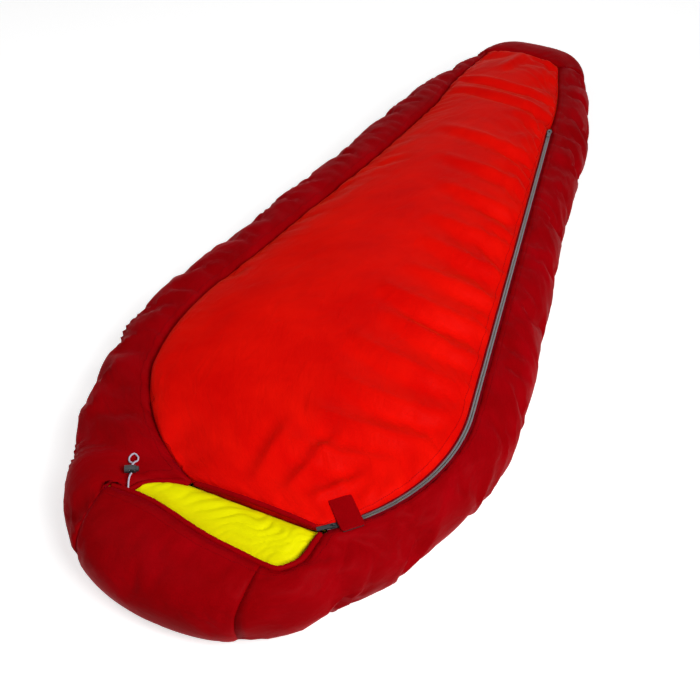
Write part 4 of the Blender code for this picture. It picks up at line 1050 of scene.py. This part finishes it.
def tab_point(reach, aside, height):
    point, normal = zip_frame(TAB_START + TAB_WIDTH / 2)
    run = np.array((normal[1], -normal[0]))
    return place(point + normal * reach + run * aside, height)


def tab_outline_width(reach):
    """The tab's corners are rounded at its free end, and it narrows a little at its sewn edge."""
    free = max(0.0, reach - (TAB_OVERHANG - 0.007)) / 0.007
    sewn = max(0.0, (-TAB_REACH + 0.004) - reach) / 0.004
    return TAB_WIDTH / 2 * (1 - 0.20 * (1 - math.sqrt(max(0.0, 1 - min(free, 1.0) ** 2))) - 0.06 * sewn)


SEAM_INSET = 0.0035


def tab():
    rows, columns = 34, 22
    upper = np.zeros((rows, columns, 3))
    for i in range(rows):
        reach = mix(-TAB_REACH, TAB_OVERHANG, i / (rows - 1))
        half = tab_outline_width(reach)
        for k in range(columns):
            aside = mix(-half, half, k / (columns - 1))
            inset = min(half - abs(aside), reach + TAB_REACH, TAB_OVERHANG - reach)
            puff = 0.0007 * (1 - math.exp(-max(inset, 0.0) / 0.002))
            puff -= 0.0009 * math.exp(-((inset - SEAM_INSET) / 0.0009) ** 2)
            upper[i, k] = tab_point(reach, aside, tab_surface(reach) + TAB_THICKNESS - 0.0004 + puff)
    down, over = arc_lengths(upper)
    upper[..., 2] += 0.0003 * noise(np.stack([down, over], -1) / 0.011, 41)
    lower = upper.copy()
    for i in range(rows):
        reach = mix(-TAB_REACH, TAB_OVERHANG, i / (rows - 1))
        lower[i, :, 2] = tab_surface(reach)
    cloth = quilt("tab_cloth", upper, lower, 1.0, (CRIMSON, CRIMSON), cloth_uv(upper))
    stand_in(cloth, ["zip_tab"], "tab")
    half = TAB_WIDTH / 2 - SEAM_INSET
    low, high = -TAB_REACH + 0.0050, TAB_OVERHANG - SEAM_INSET
    border = ((low, -half), (high - 0.004, -half), (high, -half + 0.005), (high, half - 0.005),
              (high - 0.004, half), (low, half), (low, -half))
    border = resampled(np.array([(*p, 0.0) for p in border]), 0.002)
    path = np.array([tab_point(p[0], p[1], tab_surface(p[0]) + TAB_THICKNESS - 0.0008) for p in border])
    row = stitches("tab_stitches", path, np.array((0, 0, 1.0)), THREAD)
    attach(row, "tab")


# -------------------------------------------------- draft tube, bottom and cords

def draft_tube_piece():
    """Padded tube behind the zip, sewn to the side's lining and gathered along its length."""
    marks = np.linspace(ZIP_ARC * 0.12, ZIP_LENGTH - 0.03, 240)
    outline = np.array([(0.0058, 0.1362), (0.0060, 0.1300), (0.0048, 0.1170), (0.0005, 0.1065),
                        (-0.0065, 0.1030), (-0.0140, 0.1045), (-0.0190, 0.1110), (-0.0165, 0.1185),
                        (-0.0090, 0.1235), (-0.0010, 0.1265), (0.0030, 0.1310), (0.0042, 0.1362)])
    rings = np.zeros((len(marks), len(outline), 3))
    middle = outline.mean(axis=0)
    for i, mark in enumerate(marks):
        point, normal = zip_frame(mark)
        full = min(1.0, 0.25 + min(mark - marks[0], marks[-1] - mark) / 0.02)
        pucker = 1 + 0.09 * float(noise(np.array([mark / 0.016, 0.5]), 51))
        for k, (reach, height) in enumerate(outline):
            soft = pucker * full if 1 < k < 10 else 1.0
            reach, height = middle + (np.array((reach, height)) - middle) * soft
            rings[i, k] = place(point + normal * reach, min(height, 0.1362))
    count, sides = rings.shape[:2]
    faces = ring_faces(count, sides, flip=True)
    made = mesh_piece("draft_roll", rings.reshape(-1, 3), faces, [LIME], cloth_uv(rings).reshape(-1, 2))
    stand_in(made, ["draft_tube"], "bag")


def floor_loop(part):
    """Plan points of the walls' outer (0) or cavity (1) edge on the floor."""
    ends = [[pair(t) for t in np.linspace(0, 1, 41)] for pair in (hood_pair, foot_pair)]
    runs = ends + [side_run(1, 0.02), side_run(-1, 0.02)]
    return station_plan(np.concatenate([wall_grid(run, 1)[part][:, -1] for run in runs]))


def floor_edge(loop, station, sign):
    side = loop[loop[:, 0] * sign >= 0]
    order = np.argsort(side[:, 1])
    return np.interp(station, side[order, 1], side[order, 0])


def bottom():
    """Base quilt, with sewn baffles across it."""
    rows, columns = ((200, 40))
    grids = []
    for part, height in ((0, 0.0), (1, BOTTOM_QUILT)):
        loop = floor_loop(part)
        low, high = loop[:, 1].min(), loop[:, 1].max()
        grid = np.zeros((rows, columns, 3))
        for i in range(rows):
            share = i / (rows - 1)
            station = mix(low, high, mix(share, (1 - math.cos(math.pi * share)) / 2, 0.35))
            left, right = floor_edge(loop, station, -1), floor_edge(loop, station, 1)
            for k in range(columns):
                across = k / (columns - 1)
                puff = abs(math.sin(math.pi * (station - 0.1) / 0.17)) ** 0.5
                rim = min(1.0, min(across, 1 - across) * 8) * min(1.0, min(share, 1 - share) * 20)
                rise = 0.0045 * (1 - puff) * rim
                flat = (mix(left, right, across), station)
                grid[i, k] = place(flat, height + (rise if part == 0 else -rise))
        grid[..., 2] += (0.0012 if part == 0 else -0.0012) * (1 + noise(grid[..., :2] / 0.06, 61))
        grids.append(grid)
    made = quilt("bottom_quilt", grids[0], grids[1], -1.0, (CRIMSON, LIME), cloth_uv(grids[0]))
    stand_in(made, ["bottom_panel", "bottom_insulation", "bottom_lining"], "bag")


def lock_point(reach, aside, height):
    turned = np.array((reach * math.cos(LOCK_TURN) - aside * math.sin(LOCK_TURN),
                       reach * math.sin(LOCK_TURN) + aside * math.cos(LOCK_TURN)))
    return place(LOCK_PLACE + turned, LOCK_HEIGHT + height)


def cords():
    """The drawcord from its casing to the lock, and its free loop beyond."""
    hole, radius = LOCK_HOLE, LOCK_RADIUS
    hem = hood_hem_path()
    leaves = int(np.argmax(hem[:, 0] > CORD_EXIT))
    start = hem[leaves]
    along = unit(start - hem[leaves + 3])
    entry = lock_point(hole, -radius - 0.0010, -0.0018)
    points = [start - along * 0.002, start + along * 0.008 + np.array((0, 0.002, 0.002)),
              mix(start + along * 0.008, entry, 0.6) + np.array((-0.002, 0.001, 0.0035)), entry]
    lay_cord("lead_cord", points, "drawcord", CORD_DIAMETER)
    reach = radius + 0.034
    side = 0.0075
    near, far = mix(radius, reach, 0.45), mix(radius, reach, 0.75)
    route = ((0, radius + 0.0005, -0.0018), (0, radius + 0.008, -0.0028), (-side * 0.9, near, -0.0050),
             (-side, far, -0.0058), (-side * 0.1, reach, -0.0062), (side * 0.9, far, -0.0058),
             (side, near, -0.0040), (side * 0.55, radius + 0.008, 0.0008), (0, radius + 0.0005, 0.0026))
    points = [lock_point(hole + ahead, aside, height) for ahead, aside, height in route]
    lay_cord("loop_cord", points, "drawcord_loop", CORD_DIAMETER)


def lay_cord(name, points, node, diameter):
    path = resampled(smooth_path(points, 10), 0.0010)
    made = tube(name, path, diameter / 2, CORD, sides=12, gathers=0.04, pitch=0.0016, seed=8, ends=False)
    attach(made, "bag")
    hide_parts(node)


def seam_stitches():
    """Rows of stitches beside the panels' seams, laid on the settled shells."""
    top = SHELLS["top_quilt"]
    normal = grid_normals(top, 1.0)
    rows = (("zip_row", top[:, -2], normal[:, -2]), ("left_row", top[4:, 1], normal[4:, 1]),
            ("foot_row", top[-2], normal[-2]))
    for name, path, up in rows:
        made = stitches(name, path + up * 0.0002, up, THREAD)
        cross_crease(made)
    for name, sign in (("side_quilt_left", -1.0), ("side_quilt_right", 1.0), ("hood_quilt", 1.0)):
        grid = SHELLS[name]
        up = grid_normals(grid, sign)
        made = stitches(name.split("_quilt")[0] + "_row", grid[:, 1] + up[:, 1] * 0.0002, up[:, 1], THREAD)
        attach(made, "bag")


def rounded_metal():
    """Fine rounding of the hard CAD parts' edges."""
    widths = {"zip_slider_upper": 0.0003, "zip_slider_lower": 0.0003, "zip_slider_upper_pull": 0.0004,
              "zip_slider_lower_pull": 0.0004, "cord_lock_barrel": 0.0007, "cord_lock_button": 0.0004,
              "tab_hook_strip": 0.0003, "side_loop_strip": 0.0003, "zip_bottom_stop": 0.0003}
    for name, width in widths.items():
        bevel = frame["nodes"][name].modifiers.new("rounded", "BEVEL")
        bevel.width = width
        bevel.segments = 2
        bevel.limit_method = "ANGLE"
        bevel.angle_limit = math.radians(35)


# ------------------------------------------------------------ camera and lights

LIGHTS = (("key", (2.3, -1.5, 2.5), 1.8, 105), ("fill", (-2.2, -1.6, 2.8), 2.6, 34),
          ("rim", (-0.8, 3.0, 2.4), 2.0, 14))    # place, size, power


def studio():
    camera = bpy.data.cameras.new("camera")
    camera.sensor_width = 36.0
    camera.sensor_fit = "HORIZONTAL"
    camera.lens = 989.6 * 36.0 / 700
    camera.clip_end = 50
    holder = bpy.data.objects.new("camera", camera)
    bpy.context.collection.objects.link(holder)
    forward = Vector((-0.29658, 0.68271, -0.66779))
    right = Vector((0.90968, 0.41482, 0.02008))
    up = Vector((-0.29072, 0.60152, 0.74408))
    turn = Matrix((right, up, -forward)).transposed().to_4x4()
    holder.matrix_world = Matrix.Translation((0.6346, -1.7928, 1.4435)) @ turn
    bpy.context.scene.camera = holder
    for name, spot, size, power in LIGHTS:
        lamp = bpy.data.lights.new(name, "AREA")
        lamp.energy = power
        lamp.size = size
        made = bpy.data.objects.new(name, lamp)
        made.location = spot
        made.rotation_euler = (Vector((0, -0.1, 0.1)) - Vector(spot)).to_track_quat("-Z", "Y").to_euler()
        bpy.context.collection.objects.link(made)
    world = bpy.data.worlds.new("world")
    bpy.context.scene.world = world
    world.use_nodes = True
    white_to_camera(world.node_tree, world.node_tree.nodes["Background"])
    world.node_tree.nodes["Background"].inputs["Strength"].default_value = 0.45
    corners = [(-8, -8, 0), (8, -8, 0), (8, 8, 0), (-8, 8, 0)]
    floor = mesh_piece("floor", corners, [(0, 1, 2, 3)], [floor_look()])
    bpy.context.scene.view_settings.view_transform = "Standard"


def seen_directly(tree):
    """1 for camera, glossy and transmission rays."""
    path = add(tree, "ShaderNodeLightPath").outputs
    seen = maths(tree, "MAXIMUM", path["Is Camera Ray"], path["Is Glossy Ray"])
    return maths(tree, "MAXIMUM", seen, path["Is Transmission Ray"])


def white_to_camera(tree, background):
    white = add(tree, "ShaderNodeBackground", Color=(1, 1, 1, 1), Strength=1.0)
    joined = add(tree, "ShaderNodeMixShader", seen_directly(tree), background.outputs[0], white.outputs[0])
    tree.links.new(joined.outputs[0], tree.nodes["World Output"].inputs["Surface"])


def floor_look():
    """Matt floor that keeps the shadow, and looks white beyond it."""
    made, tree, node = shader("floor_look", (0.80, 0.80, 0.80), 0.9)
    glow = add(tree, "ShaderNodeEmission", Color=(1, 1, 1, 1), Strength=0.62)
    dark = add(tree, "ShaderNodeEmission", Color=(0, 0, 0, 1), Strength=0.0)
    chosen = add(tree, "ShaderNodeMixShader", seen_directly(tree), dark.outputs[0], glow.outputs[0])
    joined = add(tree, "ShaderNodeAddShader", node.outputs[0], chosen.outputs[0])
    tree.links.new(joined.outputs[0], tree.nodes["Material Output"].inputs["Surface"])
    return made


def nodes_look():
    """Materials of the CAD nodes that show as they are."""
    looks = {"zip_coil": COIL, "zip_tape": TAPE, "slider_black": SLIDER, "black_plastic": PLASTIC,
             "spring_steel": SPRING, "touch_fastener": PLASTIC, "crimson_shell": CRIMSON,
             "bright_shell": BRIGHT, "lime_lining": LIME, "wadding": LIME, "pale_cord": TAPE}
    slots = {entry["node"]: entry["material_slot"] for entry in frame["record"]["subparts"]}
    for name, node in frame["nodes"].items():
        for holder in node.material_slots:
            holder.material = looks[slots[name]]


studio()
nodes_look()
panels()
hems()
collar()
zip_pieces()
tab()
draft_tube_piece()
bottom()
cords()
seam_stitches()
rounded_metal()
